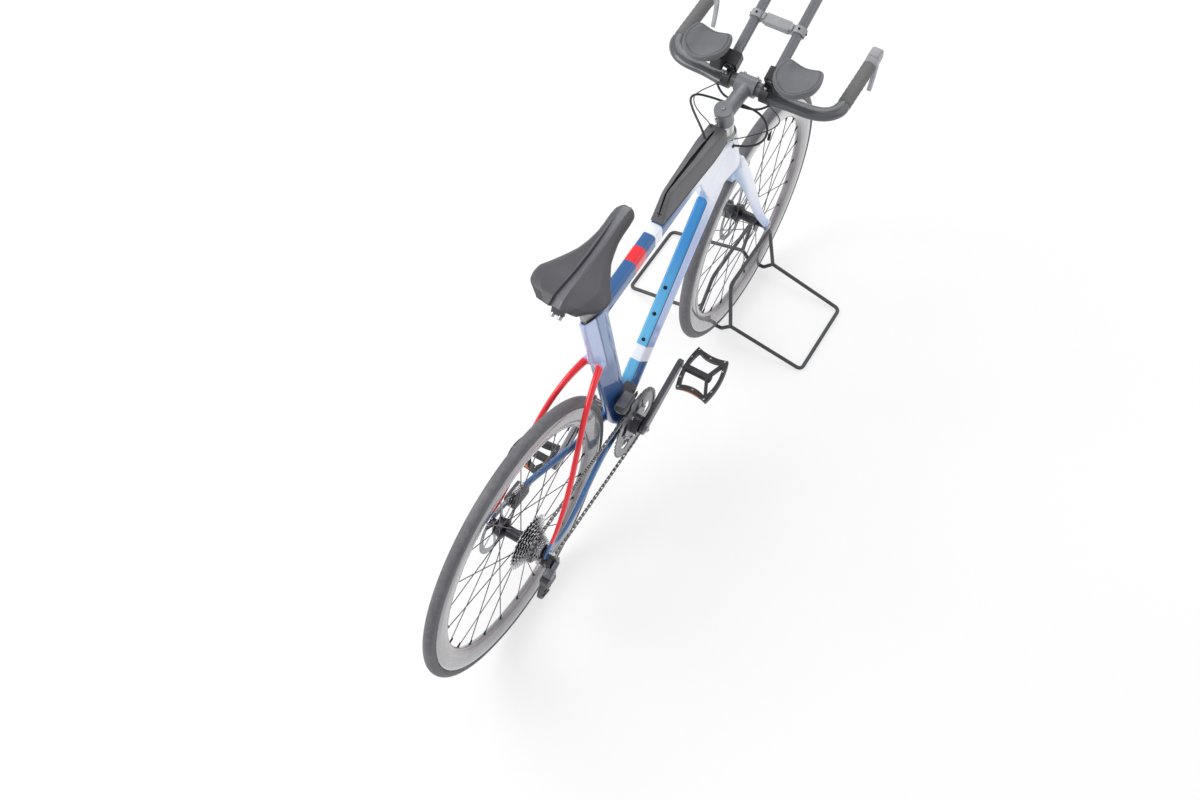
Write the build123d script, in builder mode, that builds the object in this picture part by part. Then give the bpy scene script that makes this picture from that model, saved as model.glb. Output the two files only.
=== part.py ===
"""Triathlon bike held at its front wheel by a bent-rod floor stand.

Frame of reference: +X forward, +Y to the rider's left, +Z up, millimetres.
The origin is on the floor, midway between the two axles, in the bike's
centre plane.  The bike stands upright with its steering straight ahead.
"""
import os
from math import acos, asin, atan2, cos, degrees, hypot, pi, radians, sin, sqrt, tan

from build123d import *

# ---------------------------------------------------------------- geometry
wheelbase = 1045.0
bb_ahead_of_rear_tyre = 75.0
bb_drop = 69.0
head_angle = 72.5
fork_rake = 45.0
seat_angle = 78.7

# wheels
tyre_width = 26.0
tyre_height = 21.0
tyre_facets = 6
rim_outer_radius = 315.0
rim_depth = 50.0
rim_width = 27.0
spokes_per_side = 12
spoke_diameter = 2.2
spoke_gap = 0.4
hub_shell_radius = 13.0
hub_flange_radius = 24.0
hub_flange_thickness = 3.2
hub_bore_radius = 6.4
axle_radius = 6.0
front_hub_width = 100.0
rear_hub_width = 142.0
running_gap = 0.5
front_rotor_radius = 80.0
rear_rotor_radius = 70.0
rotor_thickness = 1.8
rotor_arms = 6
rotor_arm_lean = 24.0
rotor_holes = 24
rotor_hole_radius = 2.6

# drivetrain
chain_pitch = 12.7
ring_teeth = 44
inner_ring_teeth = 32
cog_teeth = 16
cassette_teeth = (11, 12, 13, 14, 16, 18, 20, 22, 25, 28, 32)
cog_spacing = 3.9
cog_thickness = 1.6
pulley_teeth = 11
chain_line = 46.0
ring_spacing = 7.5
ring_thickness = 2.0
tooth_height = 2.4
chain_half_height = 4.3
chain_waist_height = 3.3
chain_width = 5.6
chain_channel_width = 3.0
chain_channel_top = 3.0
crank_length = 172.5
crank_rise = 20.0
crank_plane = 71.0
crank_thickness = 13.0
crank_width = 26.0
bb_shell_width = 68.0
bb_shell_radius = 23.5
spindle_radius = 12.0
pedal_length = 113.0
pedal_end_width = 78.0
pedal_middle_width = 96.0
pedal_offset = 54.0
pedal_pitches = {"right": 16.0, "left": -22.0}
pedal_barrel_reach = 22.0
pedal_axle_gap = 8.0
pedal_axle_radius = 5.5

# frame
head_tube_length = 130.0
crown_thickness = 32.0
tyre_clearance = 10.0
headset_gap = 1.0
steerer_radius = 14.3
seat_tube_chord = 78.0
seat_tube_width = 36.0
down_tube_depth = 60.0
down_tube_width = 38.0
top_tube_width = 31.0
top_tube_depth = 42.0

# floor stand
rod_diameter = 10.0
stand_half_width = 262.0
stand_rear_reach = 125.0
stand_front_reach = 120.0
stand_joint_height = 45.0
stand_joint_half_width = 47.0
hoop_height = 196.0
rod_seat_gap = 0.3

# cockpit
bar_radius = 15.9
grip_spacing = 394.0
extension_radius = 11.1
extension_wall = 2.0
extension_spacing = 100.0
extension_tilt = 24.0
extension_length = 290.0
pad_spacing = 212.0
pad_length = 96.0
pad_width = 100.0

# ---------------------------------------------------------------- derived places
wheel_radius = rim_outer_radius + tyre_height
rear_x = -wheelbase / 2
front_x = wheelbase / 2
bb_x = rear_x + wheel_radius + bb_ahead_of_rear_tyre
bb_z = wheel_radius - bb_drop
tyre_radius = tyre_width / 2
tyre_centre_radius = wheel_radius - tyre_radius

axis_dir = Vector(-cos(radians(head_angle)), 0, sin(radians(head_angle)))
axis_side = Vector(sin(radians(head_angle)), 0, cos(radians(head_angle)))
axis_foot = Vector(front_x, 0, wheel_radius) - axis_side * fork_rake
crown_low = sqrt((wheel_radius + tyre_clearance) ** 2 - fork_rake ** 2)
head_low = crown_low + crown_thickness + headset_gap
head_top = head_low + head_tube_length


def on_axis(distance, ahead=0.0, side=0.0):
    """Return a point by its distance up the steering axis."""
    return axis_foot + axis_dir * distance + axis_side * ahead + Vector(0, side, 0)


def seat_axis(height):
    """Return the seat tube's centre at a height above the floor."""
    return Vector(bb_x - (height - bb_z) / sin(radians(seat_angle)) * cos(radians(seat_angle)), 0, height)


def sprocket_radius(teeth):
    """Return a sprocket's pitch radius."""
    return chain_pitch / 2 / sin(pi / teeth)


def loft_of(sections, ruled=False):
    """Loft a solid through (plane, sketch) pairs."""
    with BuildPart() as body:
        for plane, sketch in sections:
            with BuildSketch(plane):
                add(sketch)
        loft(ruled=ruled)
    return body.part


def oval(x_radius, y_radius):
    """Return an elliptical sketch."""
    with BuildSketch() as section:
        Ellipse(x_radius, y_radius)
    return section.sketch


def round_bar(points, radii, radius):
    """Sweep a round bar along straight runs joined by arcs."""
    with BuildPart() as bar:
        with BuildLine() as path:
            if len(points) == 2:
                Line(*points)
            else:
                FilletPolyline(*points, radius=radii)
        with BuildSketch(Plane(origin=path.line @ 0, z_dir=path.line % 0)):
            Circle(radius)
        sweep()
    return bar.part


def cord_radii(points):
    """Return the largest arc radius that each corner's two runs allow."""
    radii = []
    for before, here, after in zip(points, points[1:], points[2:]):
        first = Vector(here) - Vector(before)
        second = Vector(after) - Vector(here)
        half_turn = radians(first.get_angle(second)) / 2
        radii.append(0.45 * min(first.length, second.length) / tan(half_turn))
    return radii


def save(piece, name):
    """Label a finished piece and write it as its own STEP file."""
    piece.label = name
    export_step(piece, f"parts/{name}.step")


def revolve_about_axle(centre, section):
    """Revolve a section of (radius, sideways) about a wheel's axle."""
    with BuildPart() as ring:
        with BuildSketch(Plane(origin=centre, x_dir=(0, 0, 1), z_dir=(-1, 0, 0))):
            add(section)
        revolve(axis=Axis(centre, (0, 1, 0)))
    return ring.part


def sprocket(teeth, bore):
    """Return the sketch of a toothed disc with a round bore."""
    pitch = sprocket_radius(teeth)
    step = 2 * pi / teeth
    outline = []
    for index in range(teeth):
        for share, height in ((-0.3, -tooth_height), (-0.14, tooth_height),
                              (0.14, tooth_height), (0.3, -tooth_height)):
            angle = (index + 0.5 + share) * step
            outline.append(((pitch + height) * cos(angle), (pitch + height) * sin(angle)))
    with BuildSketch() as disc:
        with BuildLine():
            Polyline(*outline, close=True)
        make_face()
        Circle(bore, mode=Mode.SUBTRACT)
    return disc.sketch


os.makedirs("parts", exist_ok=True)

# ---------------------------------------------------------------- wheels
rear_centre = Vector(rear_x, 0, wheel_radius)
front_centre = Vector(front_x, 0, wheel_radius)
rim_inner_radius = rim_outer_radius - rim_depth
spoke_hole_radius = hub_flange_radius - 3.0
cassette_outer_plane = chain_line + 4 * cog_spacing
freehub_radius = 16.5
rim_shoulder_radius = rim_outer_radius - 9.0
rim_waist_radius = rim_inner_radius + 19.0

wheels = {
    "front": {"centre": front_centre, "width": front_hub_width, "flanges": (-29.0, 20.0), "rotor": 36.0,
              "rotor_radius": front_rotor_radius},
    "rear": {"centre": rear_centre, "width": rear_hub_width, "flanges": (-16.0, 35.0), "rotor": 54.0,
             "rotor_radius": rear_rotor_radius},
}


def tyre_section():
    """Return the tyre's section down to its seat on the rim."""
    bead_angle = acos((rim_outer_radius - tyre_centre_radius) / tyre_radius)
    outline = []
    for index in range(tyre_facets + 1):
        angle = bead_angle * (2 * index / tyre_facets - 1)
        outline.append((tyre_centre_radius + tyre_radius * cos(angle), tyre_radius * sin(angle)))
    with BuildSketch() as section:
        with BuildLine():
            Polyline(*outline, close=True)
        make_face()
    return section.sketch


def rim_section():
    """Return the deep rim's rounded section."""
    half = rim_width / 2
    with BuildSketch() as section:
        with BuildLine():
            Line((rim_outer_radius, -half + 1.5), (rim_outer_radius, half - 1.5))
            Spline((rim_outer_radius, half - 1.5), (rim_shoulder_radius, half),
                   (rim_waist_radius, half - 1.8), (rim_inner_radius + 4.0, half * 0.55),
                   (rim_inner_radius, 0), (rim_inner_radius + 4.0, -half * 0.55),
                   (rim_waist_radius, -half + 1.8), (rim_shoulder_radius, -half),
                   (rim_outer_radius, -half + 1.5))
        make_face()
    return section.sketch


for name, wheel in wheels.items():
    centre = wheel["centre"]
    half_hub = wheel["width"] / 2 - running_gap
    drive_flange, disc_flange = wheel["flanges"]
    rotor_face = wheel["rotor"] - rotor_thickness / 2

    save(revolve_about_axle(centre, tyre_section()), f"{name}_tyre")
    save(revolve_about_axle(centre, rim_section()), f"{name}_rim")

    with BuildPart() as hub:
        with BuildSketch(Plane(origin=centre, x_dir=(0, 0, 1), z_dir=(-1, 0, 0))):
            with BuildLine():
                Polyline((hub_bore_radius, -half_hub), (axle_radius + 4.0, -half_hub),
                         (axle_radius + 4.0, drive_flange - hub_flange_thickness),
                         (hub_flange_radius, drive_flange - hub_flange_thickness),
                         (hub_flange_radius, drive_flange),
                         (hub_shell_radius, drive_flange + 2 * hub_flange_thickness),
                         (hub_shell_radius, disc_flange - 2 * hub_flange_thickness),
                         (hub_flange_radius, disc_flange),
                         (hub_flange_radius, disc_flange + hub_flange_thickness),
                         (hub_shell_radius + 7.0, rotor_face),
                         (hub_shell_radius + 2.0, rotor_face),
                         (hub_shell_radius + 2.0, rotor_face + 2 * rotor_thickness),
                         (axle_radius + 4.0, rotor_face + 2 * rotor_thickness),
                         (axle_radius + 4.0, half_hub), (hub_bore_radius, half_hub), close=True)
            make_face()
        revolve(axis=Axis(centre, (0, 1, 0)))
    save(hub.part, f"{name}_hub")

    with BuildPart() as spokes:
        for side, flange in ((-1, drive_flange - hub_flange_thickness / 2),
                             (1, disc_flange + hub_flange_thickness / 2)):
            for index in range(spokes_per_side):
                rim_angle = (index + 0.25 * side) * 2 * pi / spokes_per_side
                lead = 1 if index % 2 else -1
                hub_angle = rim_angle + lead * pi / 3
                foot = centre + Vector(spoke_hole_radius * cos(hub_angle), flange + 0.6 * lead,
                                       spoke_hole_radius * sin(hub_angle))
                reach = rim_inner_radius - spoke_gap
                tip = centre + Vector(reach * cos(rim_angle), 0, reach * sin(rim_angle))
                with BuildSketch(Plane(origin=foot, z_dir=tip - foot)):
                    Circle(spoke_diameter / 2)
                extrude(amount=(tip - foot).length)
        add(hub.part, mode=Mode.SUBTRACT)
    save(spokes.part, f"{name}_spokes")

    rotor_radius = wheel["rotor_radius"]
    with BuildPart() as rotor:
        rotor_bore = hub_shell_radius + 2.0 + 0.2
        with BuildSketch(Plane(origin=centre + Vector(0, rotor_face, 0), x_dir=(1, 0, 0), z_dir=(0, -1, 0))):
            Circle(rotor_radius)
            Circle(rotor_radius - 14.0, mode=Mode.SUBTRACT)
            Circle(rotor_bore + 9.0)
            with PolarLocations(rotor_radius / 2, rotor_arms):
                SlotOverall(rotor_radius - rotor_bore - 4.0, 7.0, rotation=rotor_arm_lean)
            Circle(rotor_bore, mode=Mode.SUBTRACT)
            with PolarLocations(rotor_radius - 7.0, rotor_holes):
                Circle(rotor_hole_radius, mode=Mode.SUBTRACT)
        extrude(amount=-rotor_thickness)
    save(rotor.part, f"{name}_rotor")

with BuildPart() as cassette:
    for index, teeth in enumerate(cassette_teeth):
        plane_y = -(cassette_outer_plane - index * cog_spacing) - cog_thickness / 2
        cog_centre = rear_centre + Vector(0, plane_y, 0)
        with BuildSketch(Plane(origin=cog_centre, x_dir=(1, 0, 0), z_dir=(0, -1, 0))):
            add(sprocket(teeth, axle_radius + 4.2))
        extrude(amount=-cog_thickness)
    carrier_length = cog_spacing * (len(cassette_teeth) - 1) + 2.0
    with BuildSketch(Plane(origin=rear_centre + Vector(0, -cassette_outer_plane - 1.5, 0), z_dir=(0, 1, 0))):
        Circle(freehub_radius)
        Circle(axle_radius + 4.2, mode=Mode.SUBTRACT)
    extrude(amount=carrier_length)
save(cassette.part, "cassette")

# ---------------------------------------------------------------- cranks and pedals
bb_centre = Vector(bb_x, 0, bb_z)
crank_angle = radians(crank_rise)
crank_ray = Vector(cos(crank_angle), 0, sin(crank_angle))
arm_inner = crank_plane - crank_thickness / 2
arm_outer = crank_plane + crank_thickness / 2
ring_plane = chain_line

ring_windows = 5
ring_window_radius = 54.0


def ring_window():
    """Return the rounded opening between two arms of the outer chainring."""
    with BuildSketch() as window:
        Trapezoid(42.0, 26.0, 76, rotation=-90)
        fillet(window.vertices(), 6.0)
    return window.sketch


with BuildPart() as chainrings:
    with BuildSketch(Plane(origin=bb_centre + Vector(0, -ring_plane - ring_thickness / 2, 0),
                           x_dir=(1, 0, 0), z_dir=(0, -1, 0))):
        add(sprocket(ring_teeth, spindle_radius + 12.3))
        with PolarLocations(ring_window_radius, ring_windows):
            add(ring_window(), mode=Mode.SUBTRACT)
    extrude(amount=-ring_thickness)
    inner_face = -ring_plane + ring_spacing - ring_thickness / 2
    with BuildSketch(Plane(origin=bb_centre + Vector(0, inner_face, 0), x_dir=(1, 0, 0), z_dir=(0, -1, 0))):
        add(sprocket(inner_ring_teeth, spindle_radius + 12.3))
    extrude(amount=-ring_thickness)
    with BuildSketch(Plane(origin=bb_centre + Vector(0, -ring_plane, 0), z_dir=(0, 1, 0))):
        Circle(spindle_radius + 17.0)
        Circle(spindle_radius + 12.3, mode=Mode.SUBTRACT)
    extrude(amount=ring_spacing)
save(chainrings.part, "chainrings")


def crank_arm(side):
    """Build one crank arm, side -1 for the drive side."""
    pedal_point = crank_ray * crank_length * -side
    inner = side * arm_inner if side > 0 else -arm_outer
    with BuildPart() as arm:
        with BuildSketch(Plane(origin=bb_centre + Vector(0, inner, 0), x_dir=(1, 0, 0), z_dir=(0, -1, 0))):
            Circle(crank_width / 2 + 4.0)
            with Locations((pedal_point.X, pedal_point.Z)):
                Circle(crank_width / 2)
            make_hull()
        extrude(amount=-crank_thickness)
        fillet(arm.edges().filter_by(GeomType.LINE, reverse=False), 3.0)
    return arm.part


with BuildPart() as crank_right:
    add(crank_arm(-1))
    with BuildSketch(Plane(origin=bb_centre + Vector(0, -arm_inner, 0), z_dir=(0, 1, 0))):
        Circle(spindle_radius + 12.0)
    extrude(amount=arm_inner - ring_plane + ring_spacing + ring_thickness / 2)
    with BuildSketch(Plane(origin=bb_centre + Vector(0, -arm_inner, 0), z_dir=(0, 1, 0))):
        Circle(spindle_radius)
    extrude(amount=2 * arm_inner)
save(crank_right.part, "crank_right")
save(crank_arm(1), "crank_left")

with BuildPart() as pedal_axles:
    for side in (-1, 1):
        end = bb_centre + crank_ray * crank_length * -side + Vector(0, side * arm_outer, 0)
        with BuildSketch(Plane(origin=end, z_dir=(0, side, 0))):
            Circle(pedal_axle_radius)
        extrude(amount=pedal_offset + pedal_barrel_reach - pedal_axle_gap - 1.0)
save(pedal_axles.part, "pedal_axles")

pedal_barrel_radius = 9.5
pedal_frame_thickness = 17.0
pedal_waist = 7.0
pedal_end_wall = 12.0
pedal_side_wall = 8.0
pedal_strut = 7.0


def pedal_outline(inset_ahead, inset_side):
    """Return a platform pedal's plan with hollow ends and bowed sides, drawn in from its edges."""
    half_l = pedal_length / 2 - inset_ahead
    half_end = pedal_end_width / 2 - inset_side
    half_middle = pedal_middle_width / 2 - inset_side
    with BuildSketch() as plan:
        with BuildLine():
            ThreePointArc((half_l, -half_end), (half_l - pedal_waist, 0), (half_l, half_end))
            ThreePointArc((half_l, half_end), (0, half_middle), (-half_l, half_end))
            ThreePointArc((-half_l, half_end), (-half_l + pedal_waist, 0), (-half_l, -half_end))
            ThreePointArc((-half_l, -half_end), (0, -half_middle), (half_l, -half_end))
        make_face()
    return plan.sketch


def pedal_sketch(outer):
    """Return the pedal's frame and its struts from the barrel's end to the corners on the outer side."""
    corner = (pedal_length / 2 - pedal_end_wall / 2, outer * (pedal_end_width / 2 - pedal_side_wall / 2))
    barrel_end = outer * (pedal_barrel_reach - pedal_barrel_radius)
    with BuildSketch() as plan:
        add(pedal_outline(0.0, 0.0))
        add(pedal_outline(pedal_end_wall, pedal_side_wall), mode=Mode.SUBTRACT)
        for ahead in (-1, 1):
            run = (ahead * corner[0], corner[1] - barrel_end)
            strut_middle = (run[0] / 2, barrel_end + run[1] / 2, 0)
            with Locations(Location(strut_middle, degrees(atan2(run[1], run[0])))):
                Rectangle(hypot(*run), pedal_strut)
    return plan.sketch


for side, name in ((-1, "right"), (1, "left")):
    centre = bb_centre + crank_ray * crank_length * -side
    middle = side * (arm_outer + pedal_offset)
    pitch = radians(pedal_pitches[name])
    body_plane = Plane(origin=centre + Vector(0, middle, 0), x_dir=(cos(pitch), 0, sin(pitch)),
                       z_dir=(-sin(pitch), 0, cos(pitch)))
    with BuildPart() as pedal:
        with BuildSketch(body_plane.offset(-pedal_frame_thickness / 2)):
            add(pedal_sketch(side))
        extrude(amount=pedal_frame_thickness)
        barrel_start = middle - side * (pedal_middle_width - pedal_side_wall) / 2
        with BuildSketch(Plane(origin=centre + Vector(0, barrel_start, 0), z_dir=(0, side, 0))):
            Circle(pedal_barrel_radius)
        extrude(amount=(pedal_middle_width - pedal_side_wall) / 2 + pedal_barrel_reach)
        with BuildSketch(Plane(origin=centre + Vector(0, side * arm_outer, 0), z_dir=(0, side, 0))):
            Circle(pedal_axle_radius + 0.4)
        extrude(amount=pedal_offset + pedal_barrel_reach - pedal_axle_gap, mode=Mode.SUBTRACT)
    save(pedal.part, f"pedal_{name}")

# ---------------------------------------------------------------- routes of the hoses and wires
hose_radius = 2.5
wire_radius = 1.2
port_clearance = 0.3

# each route runs from the cockpit back into the storage box or the head tube
left_hose_route = [(391.5, -62, 862), (373.5, -50, 856), (366.5, -14, 853), (361.5, 24, 853),
                   (349.5, 58, 862), (327.5, 80, 878), (295.5, 78, 892), (263.5, 52, 898),
                   (242.5, 22, 888), (235.0, 5, 868), (233.5, 1, 852)]
right_hose_route = [(391.5, 62, 862), (379.5, 47, 853), (378.5, 18, 848), (380.5, -14, 845),
                    (382.5, -44, 841), (377.5, -67, 829), (363.5, -80, 811), (343.5, -74, 797),
                    (328.5, -52, 790), (323.5, -33, 787), (316.5, -16, 785)]
left_wire_route = [(389.5, 46, 884), (371.5, 60, 876), (357.5, 80, 864), (337.5, 90, 858), (313.5, 74, 860),
                   (293.5, 48, 864), (279.5, 22, 868), (269.5, 6, 862), (265.5, 0, 848)]
right_wire_route = [(389.5, -46, 884), (377.5, -68, 874), (383.5, -90, 854), (383.5, -96, 834),
                    (369.5, -84, 822), (351.5, -62, 813), (335.5, -40, 806), (324.5, -24, 802),
                    (315.5, -12, 800)]


def port(route, radius):
    """Return the round hole that a hose or wire passes through."""
    return round_bar(route, cord_radii(route), radius + port_clearance)


# ---------------------------------------------------------------- frame
seat_tube_top = wheel_radius + 460.0
top_tube_rise = 4.0
seat_cluster = seat_axis(seat_tube_top - top_tube_depth / 2 - 4.0)
top_tube_slope = radians(top_tube_rise)
top_tube_run = on_axis(head_top).X - seat_cluster.X
down_tube_low = Vector(bb_x + 30.0, 0, bb_z + 50.0)
down_tube_high = on_axis(head_low + 26.0, -70.0)
down_dir = (down_tube_high - down_tube_low).normalized()
bb_bore = spindle_radius + 0.5
head_tube_width = 46.0
headset_cover_radius = 22.0
stay_drop_x = 8.0
dropout_inner = rear_hub_width / 2
dropout_thickness = 6.0
boss_count = 3
boss_first = 142.0
boss_spacing = 64.0
boss_radius = 2.5
boss_depth = 12.0


def tear(chord, width, tail):
    """Return a truncated aero section, nose towards +x, centred on its chord."""
    nose = chord / 2 - width / 2
    with BuildSketch() as section:
        with BuildLine():
            Line((-chord / 2, tail / 2), (-chord / 2, -tail / 2))
            Spline((-chord / 2, -tail / 2), (0, -width / 2 + 0.6), (nose, -width / 2), (chord / 2, 0),
                   (nose, width / 2), (0, width / 2 - 0.6), (-chord / 2, tail / 2))
        make_face()
    return section.sketch


def level_plane(place):
    """Return the level plane through a place, with its x along the bike."""
    return Plane(origin=place, x_dir=(1, 0, 0), z_dir=(0, 0, 1))


def top_tube_point(x):
    """Return the top tube's centre above a place along the bike."""
    return Vector(x, 0, seat_cluster.Z + (x - seat_cluster.X) * sin(top_tube_slope) / cos(top_tube_slope))


def top_tube_upper(x):
    """Return the height of the top tube's upper surface."""
    return top_tube_point(x).Z + top_tube_depth / 2 / cos(top_tube_slope)


with BuildPart() as main_frame:
    # seat tube
    add(loft_of([(level_plane(seat_axis(z)), tear(chord, seat_tube_width, 16.0))
                 for z, chord in ((bb_z + 4.0, 62.0), (bb_z + 130.0, seat_tube_chord - 6.0),
                                  (bb_z + 300.0, seat_tube_chord), (seat_tube_top, seat_tube_chord))]))
    # down tube
    down_normal = Vector(down_dir.Z, 0, -down_dir.X)
    add(loft_of([(Plane(origin=down_tube_low + down_dir * run, x_dir=down_normal, z_dir=down_dir),
                  tear(depth, down_tube_width, down_tube_width - 10.0))
                 for run, depth in ((0.0, 66.0), (140.0, down_tube_depth),
                                    ((down_tube_high - down_tube_low).length, down_tube_depth + 8.0))]))
    # top tube
    with BuildSketch(Plane(origin=seat_cluster, x_dir=(0, 1, 0),
                           z_dir=(cos(top_tube_slope), 0, sin(top_tube_slope)))):
        RectangleRounded(top_tube_width, top_tube_depth, 9.0)
    extrude(amount=(top_tube_run - 30.0) / cos(top_tube_slope))
    # head tube and its web back to the tubes
    axis_plane = Plane(origin=on_axis(head_low, -18.0), x_dir=axis_side, z_dir=axis_dir)
    with BuildSketch(axis_plane):
        add(tear(90.0, head_tube_width, 30.0))
    extrude(amount=head_tube_length)
    with BuildSketch(Plane(origin=(0, top_tube_width / 2 + 1.0, 0), x_dir=(1, 0, 0), z_dir=(0, -1, 0))):
        with BuildLine():
            web_back = top_tube_point(on_axis(head_top).X - 148.0)
            web_top = on_axis(head_top - 4.0, -20.0)
            web_low = on_axis(head_low + 6.0, -20.0)
            Polyline((web_back.X, web_back.Z), (web_top.X, web_top.Z), (web_low.X, web_low.Z),
                     (down_tube_high.X - down_dir.X * 46.0, down_tube_high.Z - down_dir.Z * 46.0), close=True)
        make_face()
    extrude(amount=top_tube_width + 2.0)
    # bottom bracket shell
    with BuildSketch(Plane(origin=bb_centre + Vector(0, -bb_shell_width / 2, 0), z_dir=(0, 1, 0))):
        Circle(bb_shell_radius)
    extrude(amount=bb_shell_width)
    with BuildSketch(Plane(origin=bb_centre + Vector(0, -bb_shell_width, 0), z_dir=(0, 1, 0))):
        Circle(bb_bore)
    extrude(amount=2 * bb_shell_width, mode=Mode.SUBTRACT)
    # steerer bore
    with BuildSketch(Plane(origin=on_axis(head_low - 20.0), z_dir=axis_dir)):
        Circle(steerer_radius + 1.2)
    extrude(amount=head_tube_length + 60.0, mode=Mode.SUBTRACT)
    # seat for the headset spacers
    with BuildSketch(Plane(origin=on_axis(head_top), z_dir=axis_dir)):
        Circle(headset_cover_radius + 1.5)
    extrude(amount=60.0, mode=Mode.SUBTRACT)
    # threaded bottle bosses along the down tube's upper face
    for index in range(boss_count):
        boss_place = down_tube_low + down_dir * (boss_first + index * boss_spacing)
        boss_face = boss_place - down_normal * down_tube_depth / 2
        with BuildSketch(Plane(origin=boss_face + down_normal * boss_depth, z_dir=down_normal * -1)):
            Circle(boss_radius)
        extrude(amount=3 * boss_depth, mode=Mode.SUBTRACT)
    # ports for the rear brake hose and a shift wire in the head tube's right side
    add(port(right_hose_route, hose_radius), mode=Mode.SUBTRACT)
    add(port(right_wire_route, wire_radius), mode=Mode.SUBTRACT)
save(main_frame.part, "main_frame")

# rear triangle
stay_meet = seat_axis(bb_z + 352.0)
with BuildPart() as seat_stays:
    for side in (-1, 1):
        route = [(Vector(rear_x + stay_drop_x, side * 74.0, wheel_radius + 16.0), 9.0, 3.2),
                 (Vector(rear_x + 150.0, side * 55.0, wheel_radius + 172.0), 9.0, 6.5),
                 (Vector(rear_x + 232.0, side * 35.0, wheel_radius + 256.0), 9.5, 7.0),
                 (Vector(stay_meet.X - 20.0, side * 14.0, stay_meet.Z - 4.0), 12.0, 9.0)]
        along = [route[1][0] - route[0][0], route[2][0] - route[0][0], route[3][0] - route[1][0],
                 route[3][0] - route[2][0]]
        add(loft_of([(Plane(origin=place, x_dir=(0, 1, 0), z_dir=run), oval(width, depth))
                     for (place, depth, width), run in zip(route, along)]))
    add(main_frame.part, mode=Mode.SUBTRACT)
save(seat_stays.part, "seat_stays")

with BuildPart() as chain_stays:
    for side in (-1, 1):
        route = [(Vector(bb_x - 8.0, side * 22.0, bb_z + 2.0), 19.0, 9.0),
                 (Vector(bb_x - 80.0, side * 28.0, bb_z + 10.0), 15.0, 6.5),
                 (Vector(rear_x + 200.0, side * 50.0, wheel_radius - 34.0), 12.0, 7.0),
                 (Vector(rear_x + 96.0, side * 68.5, wheel_radius - 17.0), 11.0, 5.5),
                 (Vector(rear_x + 26.0, side * 74.0, wheel_radius - 6.0), 10.0, 3.2)]
        along = [Vector(-1, 0, 0), route[2][0] - route[0][0], route[3][0] - route[1][0],
                 route[4][0] - route[2][0], route[4][0] - route[3][0]]
        add(loft_of([(Plane(origin=place, x_dir=(0, 1, 0), z_dir=run), oval(width, depth))
                     for (place, depth, width), run in zip(route, along)]))
        dropout_face = dropout_inner if side > 0 else -dropout_inner - dropout_thickness
        with BuildSketch(Plane(origin=(rear_x, dropout_face, wheel_radius), x_dir=(1, 0, 0), z_dir=(0, -1, 0))):
            Circle(16.0)
            with Locations((30.0, -4.0)):
                Circle(10.0)
            with Locations((stay_drop_x + 2.0, 18.0)):
                Circle(8.0)
            make_hull()
            Circle(axle_radius + 0.2, mode=Mode.SUBTRACT)
        extrude(amount=-dropout_thickness)
    add(main_frame.part, mode=Mode.SUBTRACT)
    add(seat_stays.part, mode=Mode.SUBTRACT)
    with BuildSketch(Plane(origin=bb_centre + Vector(0, -bb_shell_width, 0), z_dir=(0, 1, 0))):
        Circle(bb_bore)
    extrude(amount=2 * bb_shell_width, mode=Mode.SUBTRACT)
save(chain_stays.part, "chain_stays")

with BuildPart() as rear_axle:
    rear_half = rear_hub_width / 2 + dropout_thickness
    with BuildSketch(Plane(origin=rear_centre + Vector(0, -rear_half, 0), z_dir=(0, 1, 0))):
        Circle(axle_radius)
    extrude(amount=2 * rear_half)
    with BuildSketch(Plane(origin=rear_centre + Vector(0, rear_half, 0), z_dir=(0, 1, 0))):
        Circle(9.0)
    extrude(amount=5.0)
save(rear_axle.part, "rear_axle")

# ---------------------------------------------------------------- seatpost, saddle and box
post_chord = 66.0
post_width = 26.0
post_top = seat_tube_top + 116.0
saddle_length = 262.0
saddle_nose_x = bb_x + 26.0
saddle_tail_x = saddle_nose_x - saddle_length
rail_radius = 3.5
rail_height = post_top + 20.0
rail_spacing = 44.0
rail_bend = 24.0
channel_radius = 13.0
channel_depth = 5.0

with BuildPart() as seatpost:
    add(loft_of([(level_plane(seat_axis(z)), tear(post_chord, post_width, 10.0))
                 for z in (seat_tube_top, post_top)]))
    with BuildSketch(Plane(origin=seat_axis(post_top) + Vector(0, -rail_spacing / 2 - 8.0, 0),
                           x_dir=(1, 0, 0), z_dir=(0, -1, 0))):
        with Locations((0, 6.0)):
            RectangleRounded(46.0, 16.0, 4.0)
    extrude(amount=-(rail_spacing + 16.0))
save(seatpost.part, "seatpost")

with BuildPart() as saddle_rails:
    for side in (-1, 1):
        y = side * rail_spacing / 2
        clamp_x = seat_axis(post_top).X
        rail_rear = clamp_x - 0.45 * (clamp_x - saddle_tail_x)
        rail_fore = clamp_x + 0.32 * (saddle_nose_x - clamp_x)
        route = [(saddle_tail_x + 0.14 * saddle_length, y * 1.5, rail_height + 16.0),
                 (rail_rear, y, rail_height - 4.0), (rail_fore, y, rail_height - 4.0),
                 (saddle_nose_x - 0.14 * saddle_length, y * 0.4, rail_height + 26.0)]
        add(round_bar(route, [min(rail_bend, room) for room in cord_radii(route)], rail_radius))
    add(seatpost.part, mode=Mode.SUBTRACT)
save(saddle_rails.part, "saddle_rails")

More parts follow.
